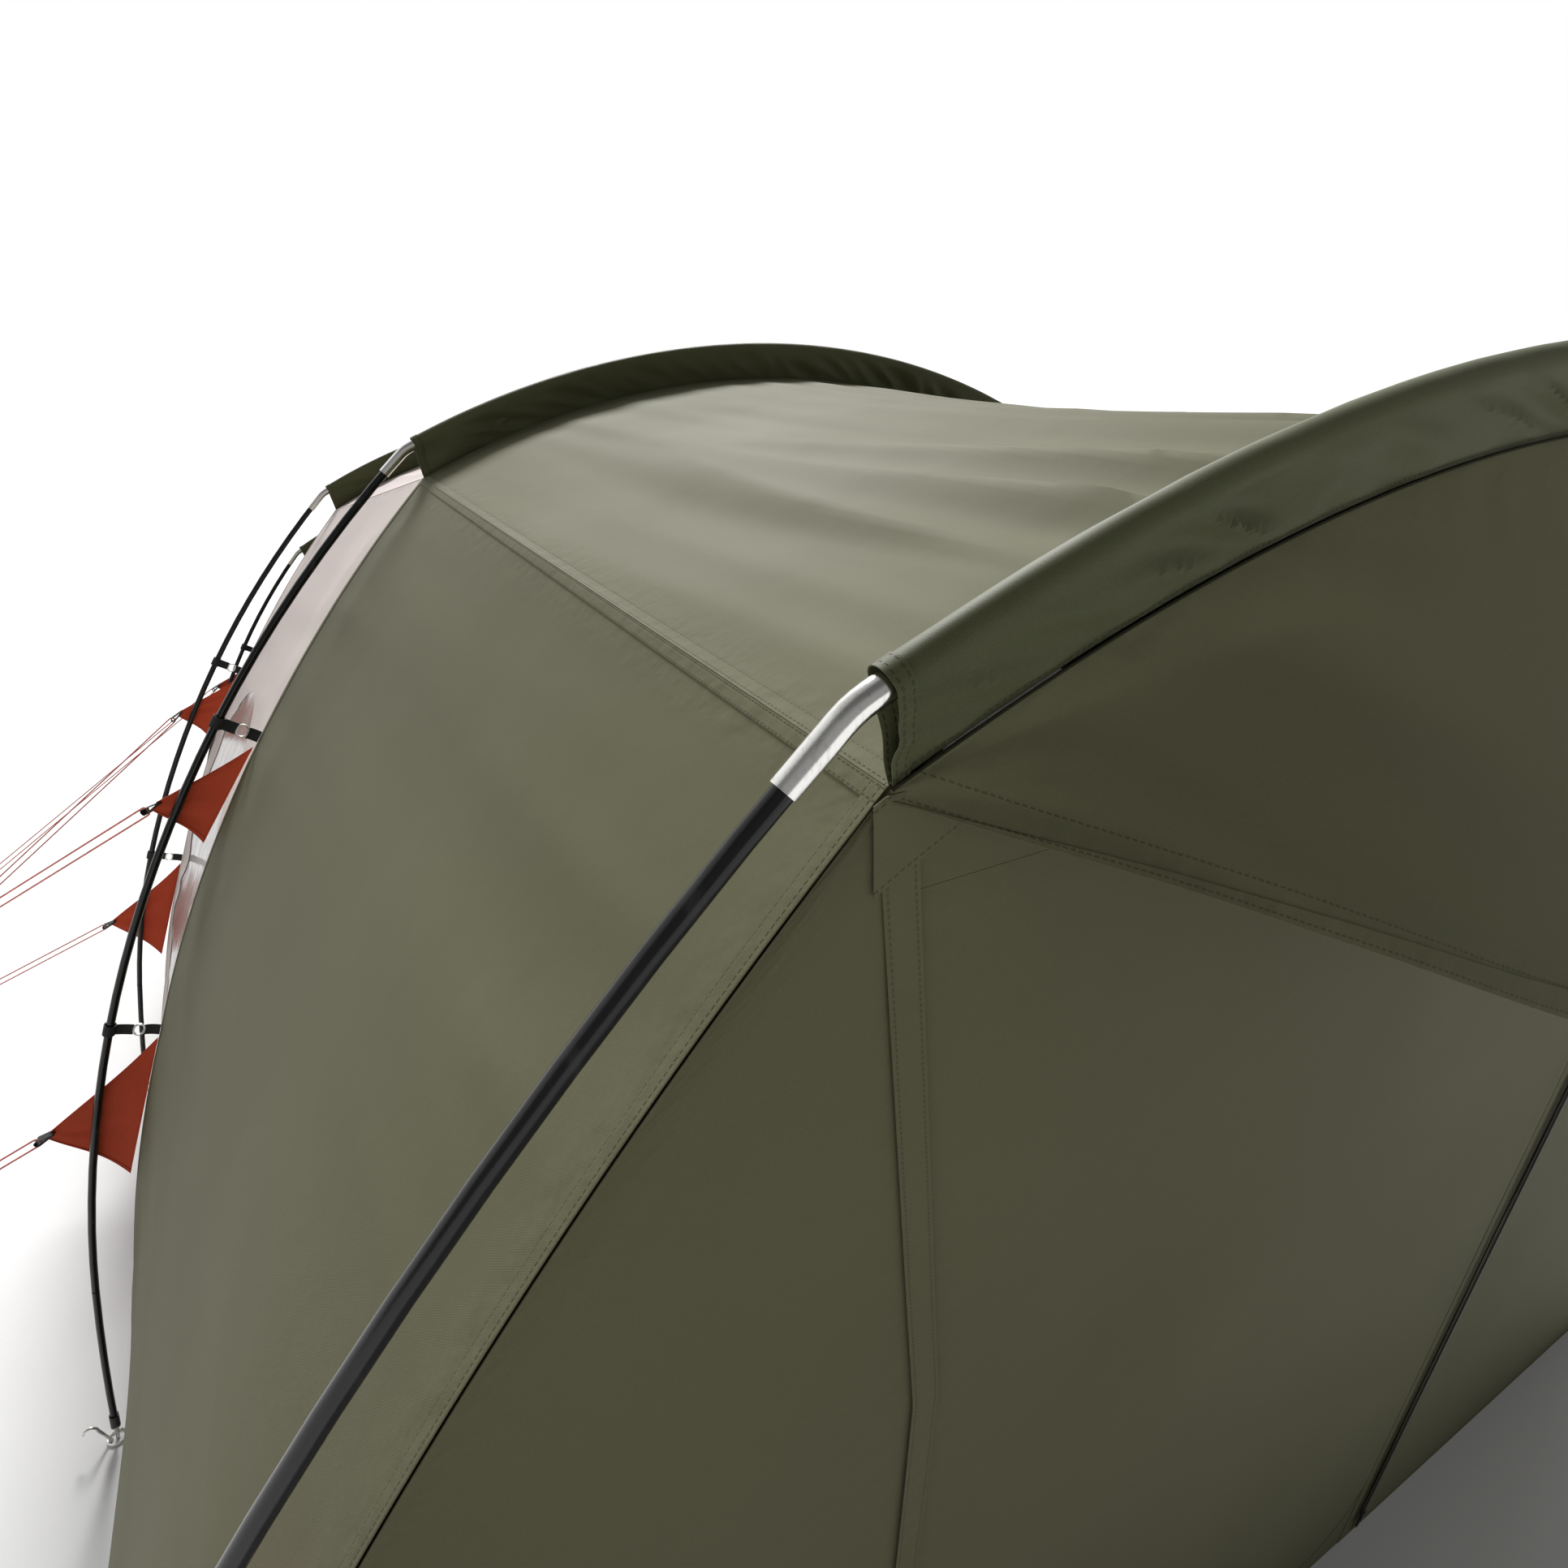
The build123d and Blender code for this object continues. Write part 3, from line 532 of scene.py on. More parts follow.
def roof_shape(front):
    def shape(u, v):
        corners = []
        for hoop in (front, front + 1):
            angle = shoulder_angle[hoop] * (2 * u - 1)
            x, z = crown(hoop, angle, SEAM_RADIUS)
            corners.append(Vector((x, HOOP_Y[hoop], z)))
        spot = corners[0].lerp(corners[1], v)
        out = Vector((sin(shoulder_angle[front] * (2 * u - 1)), 0, 1)).normalized()
        held = min(1, 9 * min(v, 1 - v), 9 * min(u, 1 - u))
        slack = sin(pi * v) * sin(pi * u) ** 0.5
        pull = 0.25 + 0.75 * (1 - v) ** 1.5
        x = spot.x
        ripple = noise.noise(Vector((x * 8.5 + 0.5 * v, v * 0.9, front * 9)))
        ripple = 0.45 - 2.4 * abs(ripple)
        ripple += 0.5 * noise.noise(Vector((x * 21 + v, v * 1.6, front * 9 + 4)))
        folds = noise.noise(Vector((x * 3, v * 2.2, front * 9 + 7)))
        spot -= out * (ROOF_SAG * slack)
        spot += out * held * (ROOF_RIPPLE * pull * ripple + 0.004 * folds)
        return spot
    return shape


roof_cloth = cloth("roof_cloth", OLIVE_LIGHT, OLIVE_DARK, side_rows=(0.002, 0.011),
                   end_rows=(0.002,))
pale_roof_cloth = cloth("pale_roof_cloth", PALE_LIGHT, PALE_DARK, side_rows=(0.002, 0.011))
ROOF_FLATS = [(1.32, 1.33), (1.40, 1.16), (1.56, 1.04)]
for front, panel in enumerate(PANELS):
    piece = sew(f"roof_{panel}_cloth", roof_shape(front), ROOF_FLATS[front], (150, 90),
                (SEWN, SEWN, SEWN, SEWN))
    pale = panel == "middle"
    hang(piece, pale_roof_cloth if pale else roof_cloth, f"roof_{panel}_panel")


# ======== Walls and windows ========
# Each side has three panels from the roof's seam down to the ground, pulled out towards
# the legs by webbing tabs. The pale middle ones hold a window of clear film, sewn in.

SHOULDER_SLOPE = [42.4, 42.4, 45, 48]
FOOT_SLOPE = [82, 82, 80, 79]
ROD_LENGTHS = [(0.535, 0.590, 0.590), (0.535, 0.590, 0.590), (0.535, 0.590, 0.420),
               (0.400, 0.430, 0.330)]
TURN_SHARES = [0, 0.325, 0.65, 0.92, 1]
SEAM_GAPS = [0.050, 0.066, 0.075, 0.062, 0.034]
FOOT_LIFT = 0.042
WALL_SAG = 0.016
WALL_RIPPLE = 0.0070


def leg_line(hoop):
    """Rod joints down one leg as (x, z, slope), with the middle of each rod between."""
    x, z = crown(hoop, shoulder_angle[hoop], CROWN_RADIUS)
    first, last = radians(SHOULDER_SLOPE[hoop]), radians(FOOT_SLOPE[hoop])
    slopes = [first + (last - first) * share for share in TURN_SHARES]
    joints, middles = [(x, z, slopes[0])], []
    for k in range(4):
        slope, turn = (slopes[k] + slopes[k + 1]) / 2, slopes[k + 1] - slopes[k]
        length = ROD_LENGTHS[hoop][k] if k < 3 else (z - FOOT_LIFT) / sin(slope)
        bulge = length / turn * (1 - cos(turn / 2))
        middles.append((x + length / 2 * cos(slope) + bulge * sin(slope),
                        z - length / 2 * sin(slope) + bulge * cos(slope), slope))
        x += length * cos(slope)
        z -= length * sin(slope)
        joints.append((x, z, slopes[k + 1]))
    return joints, middles


LEGS = [leg_line(hoop) for hoop in range(4)]


def inward(point, gap):
    x, z, slope = point
    return Vector((x - gap * sin(slope), z - gap * cos(slope)))


def wall_points(hoop):
    """The wall's seam from the shoulder to the ground: five joints with four middles."""
    joints, middles = LEGS[hoop]
    points = [Vector(crown(hoop, shoulder_angle[hoop], SEAM_RADIUS))]
    for k in range(4):
        points.append(inward(middles[k], (SEAM_GAPS[k] + SEAM_GAPS[k + 1]) / 2))
        points.append(inward(joints[k + 1], SEAM_GAPS[k + 1]))
    foot = points[-1]
    points[-1] = Vector((foot.x + foot.y * cos(joints[4][2]) / sin(joints[4][2]), 0))
    return points


WALLS = [wall_points(hoop) for hoop in range(4)]


def wall_seam(hoop, down):
    """Point of the seam, as (x, z), from 0 at the shoulder to 1 at the ground."""
    part = min(3, int(down * 4))
    s = down * 4 - part
    start, bend, end = WALLS[hoop][2 * part:2 * part + 3]
    return start * ((1 - s) * (1 - 2 * s)) + bend * (4 * s * (1 - s)) + end * (s * (2 * s - 1))


def wall_height(front, back, down):
    """Point of the wall's own curve, as (x, z), at a share of the way to its back hoop."""
    return wall_seam(front, down).lerp(wall_seam(front + 1, down), back)


def wall_spot(front, side, back, down):
    """Point of one side's wall, from its front hoop to its back one, and its way out."""
    here = wall_height(front, back, down)
    lower = wall_height(front, back, min(1, down + 0.01))
    upper = wall_height(front, back, max(0, down - 0.01))
    fall = (lower - upper).normalized()
    y = HOOP_Y[front] + (HOOP_Y[front + 1] - HOOP_Y[front]) * back
    return Vector((side * here.x, y, here.y)), Vector((side * -fall.y, 0, fall.x))


def wall_drape(front, side, back, down):
    """How far the cloth stands out at a point of the wall: sag, ripples and pulls."""
    held = min(1, 9 * min(back, 1 - back), 9 * down, 9 * (1 - down) + 0.4)
    slack = sin(pi * back) * (1 - (1 - down) ** 6)
    height = down * 2.0
    seed = front * 11 + side * 3
    ripple = noise.noise(Vector((back * 1.1, height * 7.5 - back * 0.8, seed)))
    ripple = 0.35 - 1.9 * abs(ripple)
    ripple += 0.5 * noise.noise(Vector((back * 1.7, height * 17, seed + 5)))
    folds = noise.noise(Vector((back * 2.1, height * 2.2, seed + 8)))
    pull = 0.25 + 0.75 * abs(2 * back - 1) ** 1.6
    return held * (WALL_RIPPLE * pull * ripple + 0.007 * folds) - WALL_SAG * slack


def wall_shape(front, side):
    def shape(u, v):
        spot, out = wall_spot(front, side, u, 1 - v)
        return spot + out * wall_drape(front, side, u, 1 - v)
    return shape


WINDOW_FRONT, WINDOW_BACK = HOOP_Y[1] + 0.150, HOOP_Y[2] - 0.150
WINDOW_SILL, WINDOW_SHOULDER, WINDOW_RISE = 0.560, 1.160, 0.170


def last_share(holds):
    """The last share from 0 to 1 at which a test holds, and the next, a fine step apart."""
    low, high = 0.0, 1.0
    for _ in range(24):
        middle = (low + high) / 2
        if holds(middle):
            low = middle
        else:
            high = middle
    return low, high


def drop_at(back, height):
    """How far down the middle wall a height is, at a share of the way to its back hoop."""
    low, high = last_share(lambda down: wall_height(1, back, down).y > height)
    return (low + high) / 2


def window_top(y):
    """Height of the window's arched top edge: an arc through its two corners and its crest."""
    half = (WINDOW_BACK - WINDOW_FRONT) / 2
    radius = (half ** 2 + WINDOW_RISE ** 2) / (2 * WINDOW_RISE)
    off = min(half, abs(y - (WINDOW_FRONT + WINDOW_BACK) / 2))
    return WINDOW_SHOULDER + WINDOW_RISE - radius + sqrt(radius ** 2 - off ** 2)


def in_window(spot):
    return WINDOW_FRONT < spot.y < WINDOW_BACK and WINDOW_SILL < spot.z < window_top(spot.y)


def middle_wall_shape(side):
    """The middle wall with its rows level with the window's sill and bent over its top."""
    def shape(u, v):
        back = u
        y = HOOP_Y[1] + (HOOP_Y[2] - HOOP_Y[1]) * back
        levels = [1.0, drop_at(back, WINDOW_SILL), drop_at(back, window_top(y)), 0.0]
        part = min(2, int(v * 3))
        down = levels[part] + (levels[part + 1] - levels[part]) * (v * 3 - part)
        spot, out = wall_spot(1, side, back, down)
        return spot + out * wall_drape(1, side, back, down)
    return shape


def window_shape(side):
    def shape(u, v):
        y = WINDOW_FRONT - 0.012 + (WINDOW_BACK - WINDOW_FRONT + 0.024) * u
        back = (y - HOOP_Y[1]) / (HOOP_Y[2] - HOOP_Y[1])
        bottom, top = drop_at(back, WINDOW_SILL - 0.012), drop_at(back, window_top(y) + 0.012)
        down = bottom + (top - bottom) * v
        spot, out = wall_spot(1, side, back, down)
        dent = 0.0012 * noise.noise(Vector((y * 16, down * 7, side * 5)))
        return spot + out * (wall_drape(1, side, back, down) - 0.0016 + dent)
    return shape


wall_cloth = cloth("wall_cloth", OLIVE_LIGHT, OLIVE_DARK, side_rows=(0.003, 0.011),
                   end_rows=(0.002, 0.010))
pale_wall_cloth = cloth("pale_wall_cloth", PALE_LIGHT, PALE_DARK, side_rows=(0.003, 0.011),
                        end_rows=(0.002, 0.010))
WALL_FLATS = [(1.33, 2.14), (1.16, 2.10), (1.02, 1.92)]
for front, panel in enumerate(PANELS):
    pale = panel == "middle"
    for side, sign in SIDES.items():
        piece = sew(f"{side}_wall_{panel}_cloth",
                    middle_wall_shape(sign) if pale else wall_shape(front, sign),
                    WALL_FLATS[front], (115, 147) if pale else (110, 150),
                    (SEWN, SEWN, 0, 0) if pale else (SEWN, SEWN, SEWN, SEWN),
                    hole=in_window if pale else None)
        hang(piece, pale_wall_cloth if pale else wall_cloth, f"{side}_wall_{panel}_panel")


def join(pieces, name):
    """Makes several objects one."""
    bpy.ops.object.select_all(action="DESELECT")
    for piece in pieces:
        piece.select_set(True)
    bpy.context.view_layer.objects.active = pieces[0]
    bpy.ops.object.join()
    pieces[0].name = name
    return pieces[0]


film, shader, place = new_finish("window_film", 0.12, specular=0.6)
streaks = place.noise(7, 3, (1, 1, 0.3)).ramp(0.3, 0.75)
streaks.between(dye(168, 159, 153), dye(188, 180, 174)).feed(shader, "Base Color")
(place.noise(9, 2) * 0.2 + 0.05).feed(shader, "Roughness")
(place.noise(6, 2, (1, 1, 0.4)) * 0.002).emboss(shader)
shader.inputs["Alpha"].default_value = 0.82
windows = [sew(f"{side}_window_film", window_shape(sign), (0.87, 0.80), (48, 44),
               thick=0.0006) for side, sign in SIDES.items()]
hang(join(windows, "side_window_films"), film, "side_windows")


# ======== Rain hood ========
# A shaped flap of the same cloth, sewn in under the front sleeve. Its free edge is a folded
# hem with two rows of stitches, and it hangs forward over the door.

HOOD_REACH = 0.205
HOOD_DROP = 0.428        # from the crest down to the hem's middle
HOOD_HEM = 0.026
HOOD_DROOP, HOOD_FOLD, HOOD_CRINKLE, HOOD_PUCKER = 0.010, 0.020, 0.0040, 0.004
# How much of the corner's height the hem has at a share of its half-width, in even powers.
HEM_CURVE = (2.070, -1.692, 0.622)
hood_y = HOOP_Y[0] - 0.003


def hem_spot(share):
    """Point of the hood's hem, from -1 at its left corner to 1 at its right one."""
    corner_x, corner_z = crown(0, shoulder_angle[0], SEAM_RADIUS)
    corner_z -= 0.006
    low = CREST[0] - HOOD_DROP
    lift = sum(c * share ** (2 * k + 2) for k, c in enumerate(HEM_CURVE))
    y = hood_y - 0.001 - HOOD_REACH * (1 - share * share) ** 1.12
    return Vector((corner_x * share, y, low + (corner_z - low) * lift))


def hood_shape(u, v):
    share = 2 * u - 1
    x, z = crown(0, shoulder_angle[0] * share, SEAM_RADIUS)
    seam = Vector((x, hood_y, z))
    spot = seam.lerp(hem_spot(share), v)
    out = Vector((0.2 * share, -0.85, 0.5)).normalized()
    room = min(1, 5 * v) * (1 - share ** 8)
    long_fold = noise.noise(Vector((x * 2.4 - v * 1.1, v * 0.8, 3)))
    small = noise.noise(Vector((x * 9 - v * 2.5, v * 2, 9)))
    pucker = noise.noise(Vector((x * 34, v * 4, 12))) * exp(-v * 9)
    droop = HOOD_DROOP * sin(pi * v) * (1 - share * share)
    folds = room * (HOOD_FOLD * long_fold + HOOD_CRINKLE * small)
    return spot + out * (folds + HOOD_PUCKER * pucker * min(1, 14 * v) - droop)


hood_cloth = cloth("hood_cloth", OLIVE_LIGHT, OLIVE_DARK, pucker=0.0022,
                   hem_rows=(0.004, HOOD_HEM - 0.004))
piece = sew("front_hood_cloth", hood_shape, (1.34, 0.42), (200, 60), (0, 0, 0, HOOD_HEM))
hang(piece, hood_cloth, "front_hood")

PIPING_POINTS = 25
route = []
for k in range(PIPING_POINTS):
    x, z = crown(0, shoulder_angle[0] * (2 * k / (PIPING_POINTS - 1) - 1), SEAM_RADIUS + 0.001)
    route.append((x, hood_y - 0.0016, z))
piping = tube("hood_piping", 0.0010, route, 4, 2)
bpy.ops.object.select_all(action="DESELECT")
piping.select_set(True)
bpy.context.view_layer.objects.active = piping
bpy.ops.object.convert(target="MESH")
piping = bpy.context.object
piping_finish, shader, place = new_finish("piping", 0.85, specular=0.1)
place.noise(900, 2).between(dye(34, 35, 24), dye(52, 53, 38)).feed(shader, "Base Color")
(place.noise(1500, 1) * 0.0002).emboss(shader)
fit(piping, piping_finish)


# ======== Front wall, door and zip ========
# Flat panels of the same cloth under the hood. The door's left edge is its hinge line and
# its right one closes against a coil zip. A slanting band strengthens each corner.

DOOR_LEFT, DOOR_RIGHT = -0.570, 0.520
DOOR_BOTTOM, DOOR_TOP = 0.045, 1.790
DOOR_CORNER = 0.160
DOOR_GAP = 0.0003
FRONT_Y = HOOP_Y[0]
front_cloth = cloth("front_cloth", OLIVE_LIGHT, OLIVE_DARK, crumple=0.002)


def front_wave(x, z):
    """How far the front wall stands out of its plane: a soft bow with shallow creases."""
    bow = 0.6 * noise.noise(Vector((x * 1.6, z * 1.1, 31)))
    creases = 0.25 * noise.noise(Vector((x * 5, z * 3, 36)))
    return -0.002 - 0.006 * (bow + creases)


def corner_height(x, high):
    """Height of the door's edge at x: level, then round the corner at the zip."""
    into = max(0, x - (DOOR_RIGHT - DOOR_CORNER))
    drop = DOOR_CORNER - sqrt(max(0, DOOR_CORNER ** 2 - into ** 2))
    return DOOR_TOP - drop if high else DOOR_BOTTOM + drop


def crown_height(hoop, x):
    return CREST[hoop] - CROWN_RADIUS + sqrt(SEAM_RADIUS ** 2 - x * x)


BAND_WIDTH = 0.024
BAND_TOP, BAND_SLOPE = (0.6330, 1.846), 0.1214


def band_line(z):
    """The left band's middle at a height: slanting in from the corner, then down the hinge."""
    return max(-DOOR_LEFT, BAND_TOP[0] - (BAND_TOP[1] - z) * BAND_SLOPE)


def wing_shape(side):
    """Front wall beside the door, from the wall's seam in to the band or the zip."""
    def shape(u, v):
        seam = wall_seam(0, 1 - v)
        top = seam.y if side < 0 else crown_height(0, DOOR_RIGHT) - 0.003
        z = seam.y + (top - WALLS[0][0].y) * (1 - u) * seam.y / WALLS[0][0].y * (side > 0)
        inner = band_line(z) if side < 0 else DOOR_RIGHT
        x = inner + (seam.x - 0.002 - inner) * u
        held = min(1, 8 * u, 8 * (1 - u), 12 * v)
        return side * x, FRONT_Y + held * front_wave(side * x, z), z
    return shape


def leaf_shape(u, v):
    share = sin(u * pi / 2)
    x = DOOR_LEFT + (DOOR_RIGHT - DOOR_LEFT) * share
    low, high = corner_height(x, False) + DOOR_GAP, corner_height(x, True) - DOOR_GAP
    z = low + (high - low) * v
    x = -band_line(z) + (DOOR_RIGHT - DOOR_GAP + band_line(z)) * share
    held = min(1, 8 * u, 8 * (1 - u), 12 * v, 12 * (1 - v))
    return x, FRONT_Y + held * front_wave(x, z), z


def lintel_shape(u, v):
    x = -BAND_TOP[0] + (DOOR_RIGHT + BAND_TOP[0]) * sin(u * pi / 2)
    low = corner_height(x, True)
    return x, FRONT_Y, low + (crown_height(0, x) - 0.003 - low) * v


def sill_shape(u, v):
    x = DOOR_LEFT + (DOOR_RIGHT - DOOR_LEFT) * sin(u * pi / 2)
    return x, FRONT_Y, corner_height(x, False) * v


piece = sew("front_wall_left_cloth", wing_shape(-1), (0.5, 1.95), (50, 150),
            (0, SEWN, SEWN, 0))
hang(piece, front_cloth, "front_wall_left")
piece = sew("front_wall_right_cloth", wing_shape(1), (0.5, 1.95), (50, 150),
            (SEWN, SEWN, SEWN, 0))
hang(piece, front_cloth, "front_wall_right")
piece = sew("front_door_cloth", leaf_shape, (1.09, 1.745), (110, 130), (0, SEWN, SEWN, 0))
piece.data.materials.append(front_cloth)
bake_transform(piece)
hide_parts("front_door")
lintel = sew("lintel", lintel_shape, (1.09, 0.2), (90, 16))
sill = sew("sill", sill_shape, (1.09, 0.045), (90, 6))
piece = join([lintel, sill], "front_lintel_and_sill_cloth")
hang(piece, front_cloth, "front_lintel_and_sill")

# the slanting bands and the corner patches that are sewn over the front wall
def band_shape(side):
    def shape(u, v):
        z = 0.01 + (BAND_TOP[1] - 0.01) * v
        x = band_line(z) + BAND_WIDTH * (u - 0.5)
        return side * x, FRONT_Y - 0.0016 + front_wave(side * x, z) * min(1, 12 * v), z
    return shape


def patch_shape(side):
    start, end = Vector((0.645, 1.796)), Vector((0.530, 1.858))
    corner = Vector((0.648, 1.852))

    def shape(u, v):
        spot = start.lerp(end, v).lerp(corner, 0.94 * u)
        return side * spot.x, FRONT_Y - 0.0045, spot.y
    return shape


band_cloth = cloth("band_cloth", OLIVE_LIGHT, OLIVE_DARK, side_rows=(0.003,), crumple=0.001)
bands = []
for side, sign in SIDES.items():
    bands.append(sew("band", band_shape(sign), (BAND_WIDTH, 1.85), (6, 160), thick=0.0008))
    bands.append(sew("patch", patch_shape(sign), (0.05, 0.13), (12, 30), thick=0.0008))
piece = join(bands, "front_seam_bands")
fit(piece, band_cloth)

# the zip: a woven tape, its coil of teeth and the slider
TRACK_X = DOOR_RIGHT + 0.028
TRACK_WIDTH = 0.014
TRACK_LOW, TRACK_HIGH = 0.045, 1.630
TAPE_LENGTH = 1.585
TOOTH_STEP = 0.0032
TRACK_Y = FRONT_Y - 0.0075


def webbing(name, light, dark, rib=0.0016):
    """Woven tape: ribs across it, a fine herringbone and slightly worn edges."""
    finish, shader, place = new_finish(name, 0.75)
    near, far = edges(place)
    near_x, near_y, _ = near.parts()
    far_x, _, _ = far.parts()
    ribs = (near_y * (2 * pi / rib) + (near_x * (2 * pi / 0.004)).sum("SINE") * 1.2).sum("SINE")
    worn = 1 - near_x.sum("MINIMUM", far_x).ramp(0.0002, 0.0016)
    shade = ribs * 0.25 + place.noise(300, 2) * 0.5 + worn * 0.3
    shade.ramp(0.0, 1.0).between(dark, light).feed(shader, "Base Color")
    (ribs * 0.00012 + place.noise(900, 2) * 0.0001).emboss(shader)
    return finish


zip_tape = webbing("zip_tape_weave", dye(66, 66, 52), dye(36, 36, 28))
tape = sew("door_zip_tape",
           lambda u, v: (TRACK_X + TRACK_WIDTH * (u - 0.5), TRACK_Y,
                         TRACK_LOW + (TRACK_HIGH - TRACK_LOW) * v),
           (TRACK_WIDTH, TAPE_LENGTH), (6, 120), thick=0.0008)
bpy.ops.mesh.primitive_cylinder_add(vertices=8, radius=0.0011, depth=0.0052,
                                    location=(TRACK_X, TRACK_Y - 0.0012, TRACK_LOW + 0.002),
                                    rotation=(0, pi / 2, 0))
tooth = bpy.context.object
bpy.ops.object.transform_apply(location=True, rotation=True, scale=True)
bpy.ops.object.modifier_add(type="ARRAY")
row = tooth.modifiers[-1]
row.count = int((TRACK_HIGH - TRACK_LOW) / TOOTH_STEP)
row.use_relative_offset = False
row.use_constant_offset = True
row.constant_offset_displace = (0, 0, TOOTH_STEP)
bpy.ops.object.modifier_apply(modifier=row.name)
bpy.ops.object.shade_smooth_by_angle(angle=radians(40))
coil_finish, shader, place = new_finish("zip_coil", 0.4)
place.noise(500, 2).between(dye(38, 38, 32), dye(70, 70, 60)).feed(shader, "Base Color")
(place.noise(1500, 1) * 0.0001).emboss(shader)
tooth.name = "door_zip_coil"
fit(tooth, coil_finish)
hang(tape, zip_tape, "door_zip_track")

slider_low, slider_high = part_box("door_zip_slider")
slider_z = (slider_low.z + slider_high.z) / 2
slider_y = (slider_low.y + slider_high.y) / 2
# part: width, depth, height, and its middle from the slider's own
SLIDER_PARTS = [((0.0130, 0.0016, 0.0130), (0, 0.0026, 0.008)),
                ((0.0130, 0.0016, 0.0130), (0, -0.0010, 0.008)),
                ((0.0036, 0.0036, 0.0050), (0, 0.0008, 0.0115)),
                ((0.0030, 0.0022, 0.0100), (0, -0.0026, 0.009)),
                ((0.0090, 0.0016, 0.0250), (0, -0.0024, -0.0045))]
parts = []
for size, spot in SLIDER_PARTS:
    centre = (TRACK_X + spot[0], slider_y + spot[1], slider_z + spot[2])
    bpy.ops.mesh.primitive_cube_add(size=1, scale=size, location=centre)
    bpy.ops.object.transform_apply(location=True, rotation=True, scale=True)
    bpy.ops.object.modifier_add(type="BEVEL")
    bevel = bpy.context.object.modifiers[-1]
    bevel.width = 0.0007
    bevel.segments = 3
    bpy.ops.object.modifier_apply(modifier=bevel.name)
    bpy.ops.object.shade_smooth_by_angle(angle=radians(35))
    parts.append(bpy.context.object)
slider = join(parts, "door_zip_slider_body")
slider_finish, shader, place = new_finish("painted_slider", 0.35)
chips = place.noise(700, 3).ramp(0.62, 0.72)
chips.between(dye(34, 34, 32), dye(150, 148, 142)).feed(shader, "Base Color")
(place.noise(300, 2) * 0.2 + 0.28).feed(shader, "Roughness")
(place.noise(900, 2) * 0.00005).emboss(shader)
fit(slider, slider_finish, "door_zip_slider", "zip_slider")


# ======== Back wall and its vent ========
# One panel of olive cloth closes the back. Its vent is dark mesh, under a flap of the same
# cloth that is sewn on along its top edge.

VENT_HALF, VENT_LOW, VENT_HIGH = 0.310, 1.010, 1.310
MESH_LAP, MESH_STEP = 0.01, 0.0022
BACK_Y = HOOP_Y[3]
FLAP_LOW, FLAP_HIGH, FLAP_HALF = 0.983, 1.337, 0.338


def back_top(x):
    """Height of the back wall's edge at x: the crown, then down the wall's seam."""
    x = abs(x)
    if x <= WALLS[3][0].x:
        return crown_height(3, x) - 0.003
    low, _ = last_share(lambda down: wall_seam(3, down).x < x)
    return max(0.002, wall_seam(3, low).y)


def back_shape(u, v):
    foot = WALLS[3][8].x - 0.003
    half = abs(2 * u - 1)
    if half < 1 / 3:
        x = VENT_HALF * half * 3
    else:
        x = VENT_HALF + (foot - VENT_HALF) * sin((half - 1 / 3) * 0.75 * pi)
    top = back_top(x)
    level = back_top(min(x, VENT_HALF)) if x > VENT_HALF else top
    marks = [0, VENT_LOW, VENT_HIGH, level]
    part = min(2, int(v * 3))
    z = marks[part] + (marks[part + 1] - marks[part]) * (v * 3 - part)
    z *= top / level
    held = min(1, 4 * (1 - half), 10 * v, 10 * (1 - v))
    vent = min(1, max(0, (half - 0.36) * 8))
    wave = noise.noise(Vector((x * 2.5 * (1 if u > 0.5 else -1), z * 1.4, 51)))
    return (x if u > 0.5 else -x), BACK_Y + held * vent * 0.008 * wave, z


def in_vent(spot):
    return abs(spot.x) < VENT_HALF and VENT_LOW < spot.z < VENT_HIGH


back_cloth = cloth("back_cloth", OLIVE_LIGHT, OLIVE_DARK, end_rows=(0.003, 0.010))
piece = sew("rear_wall_cloth", back_shape, (2.75, 1.55), (150, 90), hole=in_vent)
hang(piece, back_cloth, "rear_wall")

mesh_cloth, shader, place = new_finish("vent_mesh", 0.6)
across, _, up = place.parts()
upright, level = [(way * (2 * pi / MESH_STEP)).sum("SINE") for way in (across, up)]
threads = upright.sum("MAXIMUM", level)
threads.ramp(-0.1, 0.35).feed(shader, "Alpha")
place.noise(60, 2).between(dye(24, 24, 24), dye(44, 44, 42)).feed(shader, "Base Color")
(threads * 0.0003).emboss(shader)
piece = sew("rear_vent_mesh_cloth",
            lambda u, v: ((VENT_HALF + MESH_LAP) * (2 * u - 1),
                          BACK_Y - 0.0016 - 0.004 * sin(pi * u) * sin(pi * v),
                          VENT_LOW - MESH_LAP + (VENT_HIGH - VENT_LOW + 2 * MESH_LAP) * v),
            (0.64, 0.32), (40, 20), thick=0.0004)
hang(piece, mesh_cloth, "rear_vent_mesh")

flap_cloth = cloth("flap_cloth", OLIVE_LIGHT, OLIVE_DARK, side_rows=(0.003, 0.010),
                   end_rows=(0.003, 0.010))
piece = sew("rear_vent_flap_cloth",
            lambda u, v: (FLAP_HALF * (2 * u - 1),
                          BACK_Y + 0.0052 + 0.0022 * (1 - v) * (1 + sin(u * 19) * 0.5),
                          FLAP_LOW + (FLAP_HIGH - FLAP_LOW) * v),
            (0.68, 0.36), (70, 36), (SEWN, SEWN, SEWN, SEWN))
hang(piece, flap_cloth, "rear_vent_flap",
     body="rear_vent_flap")


# ======== Groundsheet ========
# Coated grey cloth laid flat on the ground inside the walls, with soft creases from packing.

sheet_front, sheet_back = HOOP_Y[0] + 0.026, HOOP_Y[3] - 0.026


